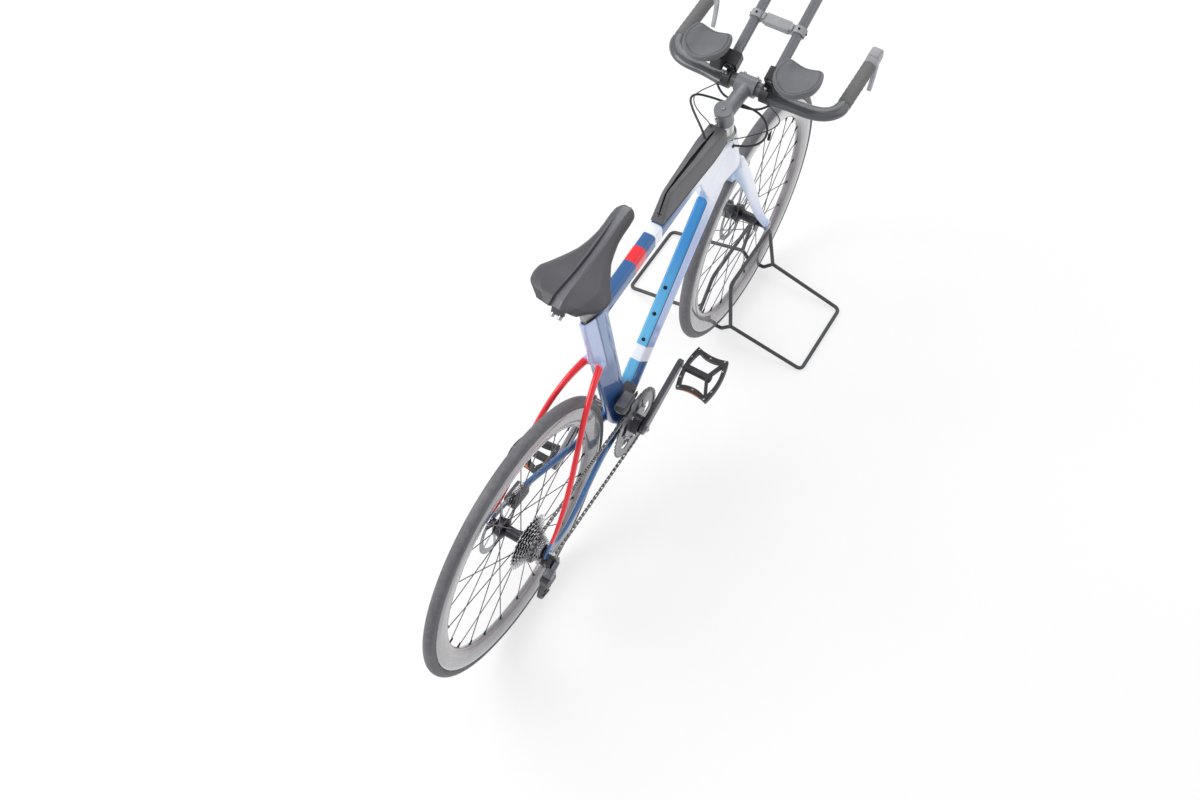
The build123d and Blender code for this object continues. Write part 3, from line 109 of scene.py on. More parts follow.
# ---------------------------------------------------------------- shader maths
class Value:
    """A shader socket whose arithmetic adds Math nodes."""

    def __init__(self, shader: Shader, socket: bpy.types.NodeSocket) -> None:
        """Wrap a socket of a shader's tree."""
        self.shader = shader
        self.socket = socket

    def math(self, operation: str, *others: Value | float) -> Value:
        """Return the result of one Math node with this value first."""
        return self.shader.node("ShaderNodeMath", {"operation": operation}, dict(enumerate((self, *others))))

    __add__ = partialmethod(math, "ADD")
    __sub__ = partialmethod(math, "SUBTRACT")
    __mul__ = partialmethod(math, "MULTIPLY")
    sine = partialmethod(math, "SINE")
    size = partialmethod(math, "ABSOLUTE")

    def __rsub__(self, other: float) -> Value:
        """Subtract from a number."""
        return (self * -1.0) + other

    def step(self, start: float, end: float) -> Value:
        """Return a smooth rise from 0 at start to 1 at end."""
        settings = {"interpolation_type": "SMOOTHSTEP"}
        return self.shader.node("ShaderNodeMapRange", settings, {0: self, 1: start, 2: end, 3: 0.0, 4: 1.0})

    def band(self, low: float, high: float, soft: float) -> Value:
        """Return 1 between two values and 0 outside, with soft edges."""
        return self.step(low - soft, low + soft) * (1.0 - self.step(high - soft, high + soft))


class Shader:
    """A material while its nodes are laid out."""

    def __init__(self, name: str) -> None:
        """Start a material with one principled shader."""
        self.material = bpy.data.materials.new(name)
        self.material.use_nodes = True
        self.tree = self.material.node_tree
        self.surface = self.tree.nodes["Principled BSDF"]

    def node(self, kind: str, settings: dict, values: dict, output: int | str = 0) -> Value:
        """Add a node and return one of its outputs.

        Args:
            kind: The node's type name.
            settings: Its properties, set before its inputs.
            values: Numbers, tuples or Values for its inputs, by index or name.
            output: Which output is wanted.

        Returns:
            The output as a Value.
        """
        made = self.tree.nodes.new(kind)
        for name, setting in settings.items():
            setattr(made, name, setting)
        for key, value in values.items():
            self.feed(made.inputs[key], value)
        return Value(self, made.outputs[output])

    def feed(self, socket: bpy.types.NodeSocket, value: Value | float | Colour) -> None:
        """Link a Value to a socket, or set the socket's own number or colour."""
        if isinstance(value, Value):
            self.tree.links.new(value.socket, socket)
        elif isinstance(value, tuple):
            socket.default_value = (*value, 1.0)
        else:
            socket.default_value = value

    def coordinate(self, name: str = "Object") -> Value:
        """Return one of the piece's own coordinates."""
        return self.node("ShaderNodeTexCoord", {}, {}, name)

    def attribute(self, name: str) -> Value:
        """Return a value painted on the piece's points."""
        return self.node("ShaderNodeAttribute", {"attribute_name": name}, {}, "Fac")

    def split(self, vector: Value) -> list[Value]:
        """Return a vector's three parts."""
        made = self.tree.nodes.new("ShaderNodeSeparateXYZ")
        self.feed(made.inputs[0], vector)
        return [Value(self, output) for output in made.outputs]

    def join(self, x: Value | float, y: Value | float, z: Value | float) -> Value:
        """Return a vector from three parts."""
        return self.node("ShaderNodeCombineXYZ", {}, {0: x, 1: y, 2: z})

    def noise(self, scale: float, detail: float = 3.0, vector: Optional[Value] = None) -> Value:
        """Return fractal noise over the piece's own coordinates."""
        values = {"Vector": vector or self.coordinate(), "Scale": scale, "Detail": detail}
        return self.node("ShaderNodeTexNoise", {}, values)

    def cells(self, scale: float, feature: str = "F1", vector: Optional[Value] = None) -> Value:
        """Return the distance to the nearest of scattered points."""
        values = {"Vector": vector or self.coordinate(), "Scale": scale}
        return self.node("ShaderNodeTexVoronoi", {"feature": feature}, values)

    def mix(self, factor: Value | float, first: Value | Colour, second: Value | Colour) -> Value:
        """Return a blend of two colours."""
        return self.node("ShaderNodeMix", {"data_type": "RGBA"}, {0: factor, 6: first, 7: second}, 2)

    def bump(self, height: Value, distance: float, strength: float = 1.0,
             before: Optional[Value] = None) -> Value:
        """Return a normal pushed by a height in metres of distance."""
        values = {"Height": height, "Distance": distance, "Strength": strength}
        return self.node("ShaderNodeBump", {}, values | ({"Normal": before} if before else {}))

    def finish(self, **values: Value | float | Colour) -> bpy.types.Material:
        """Set the principled shader's sockets, named with underscores, and return the material."""
        for key, value in values.items():
            self.feed(self.surface.inputs[key.replace("_", " ")], value)
        return self.material


# ---------------------------------------------------------------- finishes
@dataclass(frozen=True)
class Look:
    """A named finish with one main colour."""

    name: str
    colour: Colour

    def tone(self, share: float, lift: float = 0.0) -> Colour:
        """Return the main colour made lighter or darker."""
        return tuple(min(1.0, part * share + lift) for part in self.colour)

    def sockets(self, shader: Shader) -> dict:
        """Return what feeds the principled shader."""
        raise NotImplementedError

    def make(self) -> bpy.types.Material:
        """Build the material."""
        shader = Shader(self.name)
        return shader.finish(**self.sockets(shader))


@dataclass(frozen=True)
class Metal(Look):
    """Worked metal with fine scatter in its gloss and rubbed high spots."""

    roughness: float = 0.3
    grain: float = 600.0
    wear: float = 0.35

    def sockets(self, shader: Shader) -> dict:
        """Return what feeds the principled shader."""
        fine, patches = shader.noise(self.grain, 2.0), shader.noise(60.0, 4.0)
        return {"Base_Color": shader.mix(patches.step(0.35, 0.7) * self.wear, self.colour, self.tone(0.6)),
                "Metallic": 1.0,
                "Roughness": patches * 0.18 + fine * 0.08 + (self.roughness - 0.13),
                "Normal": shader.bump(fine, 0.00004, 0.5)}


@dataclass(frozen=True)
class Moulded(Look):
    """Moulded plastic or powder coat with a fine pebbled skin."""

    roughness: float = 0.45
    pebble: float = 900.0
    relief: float = 0.00006

    def sockets(self, shader: Shader) -> dict:
        """Return what feeds the principled shader."""
        patches = shader.noise(35.0, 5.0)
        lighter = self.tone(1.35, 0.01)
        return {"Base_Color": shader.mix(patches.step(0.4, 0.75) * 0.5, self.colour, lighter),
                "Roughness": patches * 0.2 + (self.roughness - 0.1),
                "Normal": shader.bump(shader.cells(self.pebble), self.relief, 0.6)}


@dataclass(frozen=True)
class Carbon(Look):
    """Carbon laminate under lacquer, its twill just visible."""

    roughness: float = 0.32
    contrast: float = 1.5

    TOW = 0.0022

    def sockets(self, shader: Shader) -> dict:
        """Return what feeds the principled shader."""
        x, y, z = shader.split(shader.coordinate())
        turn = math.pi / self.TOW
        twill = (((x + z + y) * turn).sine() * ((x - z + y) * turn).sine()).step(-0.35, 0.35)
        patches = shader.noise(25.0, 4.0)
        return {"Base_Color": shader.mix(twill * 0.7, self.colour, self.tone(self.contrast)),
                "Roughness": patches * 0.12 + twill * 0.05 + (self.roughness - 0.08),
                "Coat_Weight": 0.6, "Coat_Roughness": 0.08,
                "Normal": shader.bump(shader.noise(40.0, 2.0), 0.0004, 0.15)}


@dataclass(frozen=True)
class Rubber(Look):
    """Tyre rubber: a slick crown, file-cut shoulders and ribbed sidewalls, laid out by the tyre's UV map."""

    CUTS = 220

    def sockets(self, shader: Shader) -> dict:
        """Return what feeds the principled shader."""
        around, across, _ = shader.split(shader.coordinate("UV"))
        off_centre = (across - 0.5).size()
        shoulder, wall = off_centre.band(0.16, 0.3, 0.02), off_centre.step(0.3, 0.34)
        cut = (around * (TURN * self.CUTS) + off_centre * 260.0).sine().step(0.1, 0.7)
        rib = (off_centre * 900.0).sine() * wall * 0.35
        dust = shader.noise(90.0, 5.0)
        worn = shader.noise(7.0, 4.0).step(0.4, 0.7)
        shade = shader.mix(dust.step(0.35, 0.75) * 0.45 + worn * 0.3, self.colour, self.tone(1.7, 0.012))
        ring = (off_centre * 130.0).sine().step(0.3, 0.9) * 0.3
        shade = shader.mix(ring, shade, self.tone(0.5))
        grain = shader.bump(shader.noise(1500.0, 2.0), 0.00005, 0.5)
        return {"Base_Color": shader.mix(wall * 0.35, shade, self.tone(0.6)),
                "Roughness": dust * 0.25 + 0.5 - wall * 0.08,
                "Normal": shader.bump(rib - cut * shoulder, 0.0005, 0.7, grain)}


@dataclass(frozen=True)
class Laminate(Look):
    """A deep rim's glossy laminate, its rings laid out across by the rim's UV map, with a painted highlight
    along its outer shoulders.
    """

    STRIPE = rgb(150, 40, 48)

    def sockets(self, shader: Shader) -> dict:
        """Return what feeds the principled shader."""
        around, across, _ = shader.split(shader.coordinate("UV"))
        off_edge = (across - 0.5).size()
        clouds = shader.noise(16.0, 4.0)
        streak = shader.noise(1.0, 3.0, shader.join(around * 9.0, off_edge * 26.0, 0.0))
        patches = clouds.step(0.35, 0.7) * 0.5 + streak.step(0.4, 0.65) * 0.5
        shade = shader.mix(patches, self.tone(0.55), self.colour)
        # painted highlight: a lighter ring along each outer shoulder next to the tyre
        shade = shader.mix(off_edge.step(0.36, 0.42) * 0.7, shade, self.tone(1.5))
        shade = shader.mix(off_edge.band(0.345, 0.352, 0.004), shade, self.tone(0.55))
        return {"Base_Color": shader.mix(off_edge.band(0.112, 0.124, 0.003), shade, self.STRIPE),
                "Roughness": clouds * 0.12 + 0.16,
                "Coat_Weight": 1.0, "Coat_Roughness": 0.03,
                "Normal": shader.bump(streak, 0.0012, 0.2)}


@dataclass(frozen=True)
class Soft(Look):
    """A knitted cover: fine grain, soft sheen and faint creases."""

    def sockets(self, shader: Shader) -> dict:
        """Return what feeds the principled shader."""
        grain = shader.cells(1000.0, "DISTANCE_TO_EDGE").step(0.0, 0.25)
        folds = shader.noise(28.0, 6.0)
        rubbed = shader.noise(9.0, 3.0).step(0.42, 0.7)
        return {"Base_Color": shader.mix(rubbed * 0.5 + folds * 0.15, self.colour, self.tone(1.3, 0.01)),
                "Roughness": 0.62 - rubbed * 0.12 + folds * 0.1,
                "Sheen_Weight": 0.15,
                "Normal": shader.bump(grain, 0.00009, 0.6, shader.bump(folds, 0.0002, 0.35))}


@dataclass(frozen=True)
class Cover(Look):
    """The saddle's smooth cover: paler along the middle, with painted shade darkening its turned-down edges
    and the other faces that turn away from straight up.
    """

    def sockets(self, shader: Shader) -> dict:
        """Return what feeds the principled shader."""
        _, y, _ = shader.split(shader.coordinate())
        _, _, up = shader.split(shader.coordinate("Normal"))
        grain = shader.cells(1500.0, "DISTANCE_TO_EDGE").step(0.0, 0.25)
        folds = shader.noise(26.0, 5.0)
        paler, painted_shade_tone = self.tone(3.0), self.tone(0.62)
        shade = shader.mix((1.0 - y.size().step(0.006, 0.012)) * 0.8, self.colour, paler)
        shade = shader.mix(folds.step(0.45, 0.8) * 0.12, shade, paler)
        # painted shade: faces turned away from straight up are darkened
        return {"Base_Color": shader.mix((1.0 - up.step(0.5, 0.86)) * 0.85, shade, painted_shade_tone),
                "Roughness": folds * 0.15 + 0.42,
                "Coat_Weight": 0.15, "Coat_Roughness": 0.3,
                "Normal": shader.bump(grain, 0.00006, 0.5, shader.bump(folds, 0.0003, 0.3))}


@dataclass(frozen=True)
class Tape(Look):
    """Perforated bar wrap, its holes laid out by the grip's UV map."""

    def sockets(self, shader: Shader) -> dict:
        """Return what feeds the principled shader."""
        around, along, _ = shader.split(shader.coordinate("UV"))
        holes = shader.cells(1.0, vector=shader.join(around * 30.0, along * 50.0, 0.0))
        pits = 1.0 - holes.step(0.12, 0.24)
        cloth = shader.noise(700.0, 3.0)
        shade = cloth.step(0.35, 0.65) * 0.6 - pits * 0.5
        return {"Base_Color": shader.mix(shade, self.colour, self.tone(1.45, 0.01)),
                "Roughness": 0.82 - pits * 0.1,
                "Normal": shader.bump(cloth - pits * 1.5, 0.00025, 0.7)}


@dataclass(frozen=True)
class Lacquer(Look):
    """Gloss lacquer with metallic flake, its fields laid out in the part's own frame."""

    AZURE, AQUA, RED = rgb(40, 130, 196), rgb(92, 176, 222), rgb(232, 26, 44)
    BLUE, DEEP, LAVENDER = rgb(40, 94, 152), rgb(30, 66, 128), rgb(168, 187, 230)

    def fields(self, shader: Shader) -> Value:
        """Return the painted fields' colour."""
        raise NotImplementedError

    def sockets(self, shader: Shader) -> dict:
        """Return what feeds the principled shader."""
        flake = shader.cells(3500.0).step(0.0, 0.9)
        ripple = shader.noise(22.0, 2.0)
        return {"Base_Color": shader.mix(flake * 0.02, self.fields(shader), (1.0, 1.0, 1.0)),
                "Metallic": flake * 0.2,
                "Roughness": ripple * 0.08 + 0.30,
                "Specular_IOR_Level": 0.12,
                "Coat_Weight": 0.9, "Coat_Roughness": 0.04,
                "Normal": shader.bump(ripple, 0.0003, 0.12)}


class FrameLacquer(Lacquer):
    """The frame's colours, tube by tube, with the red stays and the bands."""

    def fields(self, shader: Shader) -> Value:
        """Return the colour of each tube."""
        mix = shader.mix
        x, y, z = shader.split(shader.coordinate())
        _, side, up = shader.split(shader.coordinate("Normal"))
        masks = ("top_tube", "down_tube", "seat_stay", "chain_stay")
        top, down, stay, low_stay = (shader.attribute(name) for name in masks)
        # seat tube: lavender rear half behind a dark edge, blue in front of it with a painted highlight
        # lightening its flanks toward lavender, and blue below the stays
        ahead = (x - CRANK_CENTRE.x) * SEAT_RAY.z - (z - CRANK_CENTRE.z) * SEAT_RAY.x
        # painted highlight: flanks found by their sideways normal turn from blue toward lavender
        front = mix(side.size().step(0.66, 0.84), self.BLUE, mix(0.45, self.BLUE, self.LAVENDER))
        seat = mix(ahead.step(-0.008, -0.004), mix(0.12, self.LAVENDER, self.colour), front)
        seat = mix(ahead.band(-0.010, -0.006, 0.002) + ahead.band(0.022, 0.028, 0.003), seat, self.DEEP)
        seat = mix(1.0 - z.step(0.55, 0.63), seat, mix(0.6, self.DEEP, self.BLUE))
        # down tube: bright upper facet up to the head, paler aqua toward its lower end as a painted
        # highlight, a pale band below the bosses, lavender sides
        run = (x + 0.05) * 0.71 + (z - 0.35) * 0.70
        sides = mix(run.step(0.36, 0.47), self.LAVENDER, self.colour)
        sides = mix(1.0 - run.step(0.03, 0.10), sides, self.BLUE)
        length = (1.0 - (run + y * y * 60.0).step(0.440, 0.445)) * up.step(0.12, 0.2)
        tube = mix(length * (1.0 - y.size().step(0.0150, 0.0162)), sides, self.BLUE)
        # painted highlight: the facet turns paler aqua toward its lower end
        facet = mix(run.step(0.12, 0.36), self.AQUA, self.AZURE)
        facet = mix(1.0 - run.step(-0.03, 0.01), facet, self.DEEP)
        tube = mix(length * (1.0 - y.size().step(0.0118, 0.0128)), tube, facet)
        tube = mix(run.band(0.046, 0.082, 0.0015) * up.step(-0.3, 0.1), tube, self.colour)
        base = mix(down, seat, tube)
        # top tube: blue with a painted highlight making it paler along its left edge, with a red and a pale
        # band
        bar = mix(side.step(0.5, 0.8) * 0.7, self.BLUE, self.LAVENDER)
        bar = mix(x.band(-0.0755, -0.0355, 0.001), bar, self.RED)
        bar = mix(x.band(0.0015, 0.029, 0.001), bar, self.colour)
        base = mix(top * ahead.step(0.030, 0.036) * (1.0 - x.step(0.12, 0.16)), base, bar)
        # head: pale, with a blue line under the box
        base = mix(x.step(0.13, 0.19) * (1.0 - down), base, self.colour)
        crest = (z - x * 0.0699).step(0.7945, 0.7985) * x.step(0.12, 0.13) * (1.0 - x.step(0.29, 0.30))
        base = mix(low_stay, mix(crest, base, self.BLUE), self.BLUE)
        # seat stays: red between the arch at the seat tube and the tips at the axle
        reach = x.step(-0.512, -0.508) * (1.0 - x.step(-0.224, -0.214))
        return mix(stay * reach, base, self.RED)


class ForkLacquer(Lacquer):
    """The fork's colours: pale lavender legs with blue behind the crown."""

    def fields(self, shader: Shader) -> Value:
        """Return the colour along the legs."""
        x, _, z = shader.split(shader.coordinate())
        lean = (x - 0.48) * 0.954 + (z - 0.32) * 0.301
        rear = (1.0 - lean.step(-0.018, 0.004)) * z.step(0.50, 0.60)
        legs = shader.mix(z.step(0.34, 0.62), self.LAVENDER, self.colour)
        legs = shader.mix(rear * 0.5, legs, self.AZURE)
        return shader.mix(1.0 - z.step(0.352, 0.360), legs, self.DEEP)


class Finish(Enum):
    """Every finish on the bike and its stand."""

    FRAME = FrameLacquer("frame lacquer", rgb(236, 240, 252))
    FORK = ForkLacquer("fork lacquer", rgb(236, 240, 252))
    TYRE = Rubber("tyre rubber", rgb(98, 97, 102))
    RIM = Laminate("rim carbon", rgb(148, 147, 152))
    BAR = Carbon("bar carbon", rgb(72, 73, 78), 0.36)
    TUBE = Carbon("extension carbon", rgb(98, 99, 105), 0.34, 1.25)
    POST = Carbon("seatpost carbon", rgb(122, 122, 126), 0.42, 1.2)
    HUB = Metal("hub anodising", rgb(74, 74, 79), 0.32)
    SPOKE = Metal("spoke wire", rgb(104, 104, 109), 0.3)
    ROTOR = Metal("rotor steel", rgb(176, 178, 182), 0.28)
    GEAR = Metal("sprocket steel", rgb(206, 206, 209), 0.24)
    CHAIN = Metal("chain steel", rgb(140, 139, 138), 0.34)
    RING = Metal("chainring alloy", rgb(142, 142, 147), 0.34, 400.0, 0.2)
    CRANK = Metal("crank anodising", rgb(104, 104, 109), 0.28)
    STEEL = Metal("bolt steel", rgb(186, 187, 190), 0.22)
    DARK_STEEL = Metal("black bolt steel", rgb(48, 48, 50), 0.3)
    SPACER = Metal("spacer alloy", rgb(215, 215, 215), 0.22)
    LEVER = Metal("lever alloy", rgb(176, 177, 182), 0.28)
    STEM = Moulded("stem coat", rgb(112, 114, 120), 0.3, 1500.0, 0.00002)
    BRACKET = Moulded("bracket coat", rgb(44, 44, 47), 0.42, 1200.0, 0.00003)
    BRIDGE = Moulded("bridge plastic", rgb(150, 151, 155), 0.5)
    PEDAL = Moulded("pedal nylon", rgb(46, 46, 49), 0.55, 700.0, 0.0001)
    CONTROL = Moulded("control plastic", rgb(58, 58, 62), 0.42)
    HOOD = Moulded("lever hood", rgb(150, 150, 154), 0.4)
    UNIT = Moulded("derailleur body", rgb(98, 100, 110), 0.3, 1300.0, 0.00003)
    CALIPER = Moulded("caliper coat", rgb(62, 62, 66), 0.34, 1400.0, 0.00002)
    BOX = Moulded("box plastic", rgb(92, 92, 96), 0.48, 1100.0)
    LIP = Moulded("box lip rubber", rgb(34, 34, 36), 0.7, 1300.0, 0.00008)
    STAND = Moulded("stand powder coat", rgb(60, 61, 65), 0.42, 1600.0, 0.00005)
    HOSE = Moulded("hose jacket", rgb(42, 42, 45), 0.4, 1800.0, 0.00002)
    AMBER = Moulded("pedal reflector", rgb(196, 98, 30), 0.2, 500.0, 0.0001)
    SADDLE = Cover("saddle cover", rgb(70, 70, 75))
    PAD = Soft("arm pad cover", rgb(94, 95, 100))
    TAPE = Tape("bar wrap", rgb(102, 101, 102))

    @property
    def material(self) -> bpy.types.Material:
        """Return the finish's material, built the first time it is wanted."""
        return bpy.data.materials.get(self.value.name) or self.value.make()


# ---------------------------------------------------------------- mesh making
def add_object(name: str, data: bpy.types.ID) -> Piece:
    """Put new data into the scene as an object."""
    made = bpy.data.objects.new(name, data)
    bpy.context.scene.collection.objects.link(made)
    return made


def clean(mesh: bpy.types.Mesh, merge: float = 0.0, turn_out: bool = True) -> None:
    """Merge points closer than a distance and turn the faces outwards."""
    body = bmesh.new()
    body.from_mesh(mesh)
    if merge:
        bmesh.ops.remove_doubles(body, verts=body.verts, dist=merge)
    if turn_out:
        bmesh.ops.recalc_face_normals(body, faces=body.faces)
    body.to_mesh(mesh)
    body.free()


def new_piece(name: str, points: Sequence, faces: Sequence, smooth: bool = True) -> Piece:
    """Make an object from places and tuples of their indices, facing outwards."""
    mesh = bpy.data.meshes.new(name)
    mesh.from_pydata([tuple(point) for point in points], [], faces)
    clean(mesh, 1e-6)
    if smooth:
        mesh.shade_smooth()
    return add_object(name, mesh)


def apply_modifiers(piece: Piece) -> Piece:
    """Turn a piece's modifiers into its plain mesh."""
    name = piece.name
    graph = bpy.context.evaluated_depsgraph_get()
    made = add_object(name + "_made", bpy.data.meshes.new_from_object(piece.evaluated_get(graph)))
    bpy.data.objects.remove(piece)
    made.name = name
    return made


def grid(rows: int, count: int, closed: bool = False) -> list[tuple[int, ...]]:
    """Return the faces between closed rings of equal length, row by row."""
    faces = []
    for row in range(rows if closed else rows - 1):
        here, above = row * count, (row + 1) % rows * count
        for spot in range(count):
            after = (spot + 1) % count
            faces.append((here + spot, here + after, above + after, above + spot))
    return faces


def ring_shell(name: str, rings: Sequence[Sequence[Vector]]) -> Piece:
    """Join closed rings of equal length into a skin with both ends capped."""
    count, last = len(rings[0]), (len(rings) - 1) * len(rings[0])
    caps = [tuple(range(count)), tuple(range(last, last + count))]
    return new_piece(name, [point for ring in rings for point in ring], grid(len(rings), count) + caps)


def mapped_skin(name: str, rings: Sequence[Sequence[Vector]], closed: bool,
                lay: Callable[[int, int], tuple[float, float]]) -> Piece:
    """Join closed rings into an open or a ring-shaped skin with a UV map.

    Args:
        name: The piece's name.
        rings: The rings, all of one length.
        closed: Whether the last ring meets the first.
        lay: Gives the map's place for a ring's number and a spot on it.

    Returns:
        The piece.
    """
    count = len(rings[0])
    mesh = bpy.data.meshes.new(name)
    mesh.from_pydata([point for ring in rings for point in ring], [], grid(len(rings), count, closed))
    layer = mesh.uv_layers.new(name="lay")
    for face in mesh.polygons:
        row, spot = divmod(face.index, count)
        corners = ((row, spot), (row, spot + 1), (row + 1, spot + 1), (row + 1, spot))
        for loop, corner in zip(face.loop_indices, corners):
            layer.data[loop].uv = lay(*corner)
    clean(mesh)
    mesh.shade_smooth()
    return add_object(name, mesh)


def lathe(name: str, section: Keys, centre: Vector, steps: int = 240) -> Piece:
    """Turn a closed section of (radius, sideways) about a wheel's axle, with a UV map round and across."""
    rings = [[centre + polar(TURN * index / steps, radius) + SIDE * side for radius, side in section]
             for index in range(steps)]
    return mapped_skin(name, rings, True, lambda row, spot: (row / steps, spot / (len(section) - 1)))


def curve_map(keys: Keys, share: float) -> float:
    """Return a smooth curve's height through (place, height) keys."""
    places, heights = zip(*keys)
    last = len(keys) - 1
    index = next((spot for spot in range(last) if share <= places[spot + 1]), last - 1)
    slopes = []
    for spot in (index, index + 1):
        before, after = max(0, spot - 1), min(last, spot + 1)
        slopes.append((heights[after] - heights[before]) / (places[after] - places[before]))
    gap = places[index + 1] - places[index]
    t = min(1.0, max(0.0, (share - places[index]) / gap))
    rise = t * t * (3 - 2 * t)
    return (heights[index] * (1 - rise) + heights[index + 1] * rise
            + gap * t * (1 - t) * ((1 - t) * slopes[0] - t * slopes[1]))


def straight_map(keys: Keys, place: float) -> float:
    """Return a value on straight runs between (place, value) keys."""
    return float(np.interp(place, *zip(*keys)))


def spline(points: Sequence[Sequence[float]], steps: int, closed: bool = False) -> list[Vector]:
    """Return a smooth run of places through the given ones, with steps to each stretch."""
    keys = [Vector((*point, 0)[:3]) for point in points]
    count = len(keys)
    run = []
    for index in range(count if closed else count - 1):
        stretch = [spot % count if closed else min(count - 1, max(0, spot))
                   for spot in range(index - 1, index + 3)]
        before, start, end, after = (keys[spot] for spot in stretch)
        for step in range(steps):
            t = step / steps
            run.append(0.5 * (2 * start + (end - before) * t
                              + (2 * before - 5 * start + 4 * end - after) * t ** 2
                              + (3 * start - before - 3 * end + after) * t ** 3))
    return run if closed else run + [keys[-1]]


@dataclass
class Station:
    """One cross section of a loft: its centre, its two half axes and how square it is."""

    centre: Vector
    across: Vector
    rise: Vector
    square: float = 1.0

    def ring(self, count: int) -> list[Vector]:
        """Return the section's points."""
        spots = []
        for index in range(count):
            angle = TURN * index / count
            wide, high = (math.copysign(abs(wave) ** self.square, wave)
                          for wave in (math.cos(angle), math.sin(angle)))
            spots.append(self.centre + self.across * wide + self.rise * high)
        return spots


def loft(name: str, stations: Sequence[Station], count: int = 24) -> Piece:
    """Skin a run of stations, closed at both ends."""
    return ring_shell(name, [station.ring(count) for station in stations])


def turned(name: str, start: Vector, aim: Vector, profile: Keys, count: int = 32) -> Piece:
    """Turn a profile of (distance along, radius) in millimetres about a line."""
    aim = aim.normalized()
    across = aim.orthogonal().normalized()
    rise = aim.cross(across)
    stations = [Station(start + aim * along * MM, across * radius * MM, rise * radius * MM)
                for along, radius in profile]
    return loft(name, stations, count)


def block(name: str, centre: Vector, halves: Sequence[Vector], round_off: float) -> Piece:
    """Make a block from its centre and three half axes, its edges rounded by millimetres."""
    faces = [(0, 1, 3, 2), (4, 6, 7, 5), (0, 4, 5, 1), (2, 3, 7, 6), (0, 2, 6, 4), (1, 5, 7, 3)]
    corners = []
    for code in range(8):
        signs = (1 if code & bit else -1 for bit in (4, 2, 1))
        corners.append(centre + sum((half * sign for half, sign in zip(halves, signs)), Vector()))
    piece = new_piece(name, corners, faces, smooth=False)
    bevel = piece.modifiers.new("round", "BEVEL")
    bevel.width = round_off * MM
    bevel.segments = 3
    piece = apply_modifiers(piece)
    piece.data.shade_smooth()
    return piece


def join(name: str, parts: Sequence[Piece]) -> Piece:
    """Join objects into one."""
    with bpy.context.temp_override(active_object=parts[0], object=parts[0], selected_objects=list(parts),
                                   selected_editable_objects=list(parts)):
        bpy.ops.object.join()
    parts[0].name = parts[0].data.name = name
    return parts[0]


def sharpen(piece: Piece, degrees: float = 35.0) -> Piece:
    """Keep edges sharper than an angle crisp while the rest stays smooth."""
    piece.data.set_sharp_from_angle(angle=math.radians(degrees))
    return piece


def dress(piece: Piece, finish: Finish, body: str, replaces: Sequence[str] = ()) -> None:
    """Give a piece its finish and its body, and hide the nodes that it stands for."""
    piece.data.materials.clear()
    piece.data.materials.append(finish.material)
    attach(piece, body)
    if replaces:
        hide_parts(*replaces)
    log.info("%s rides on %s", piece.name, body)


# ---------------------------------------------------------------- repeated pieces
@dataclass
class Spot:
    """Where one copy goes: its place, its own Z and X directions and its size."""

    place: Vector
    aim: Vector
    along: Optional[Vector] = None
    size: float = 1.0

    def turn(self) -> Sequence[float]:
        """Return the turn from a copy's own directions, as Euler angles."""
        z_axis = self.aim.normalized()
        x_axis = (self.along or z_axis.orthogonal()).normalized()
        x_axis = (x_axis - z_axis * x_axis.dot(z_axis)).normalized()
        return Matrix((x_axis, z_axis.cross(x_axis), z_axis)).transposed().to_euler("XYZ")


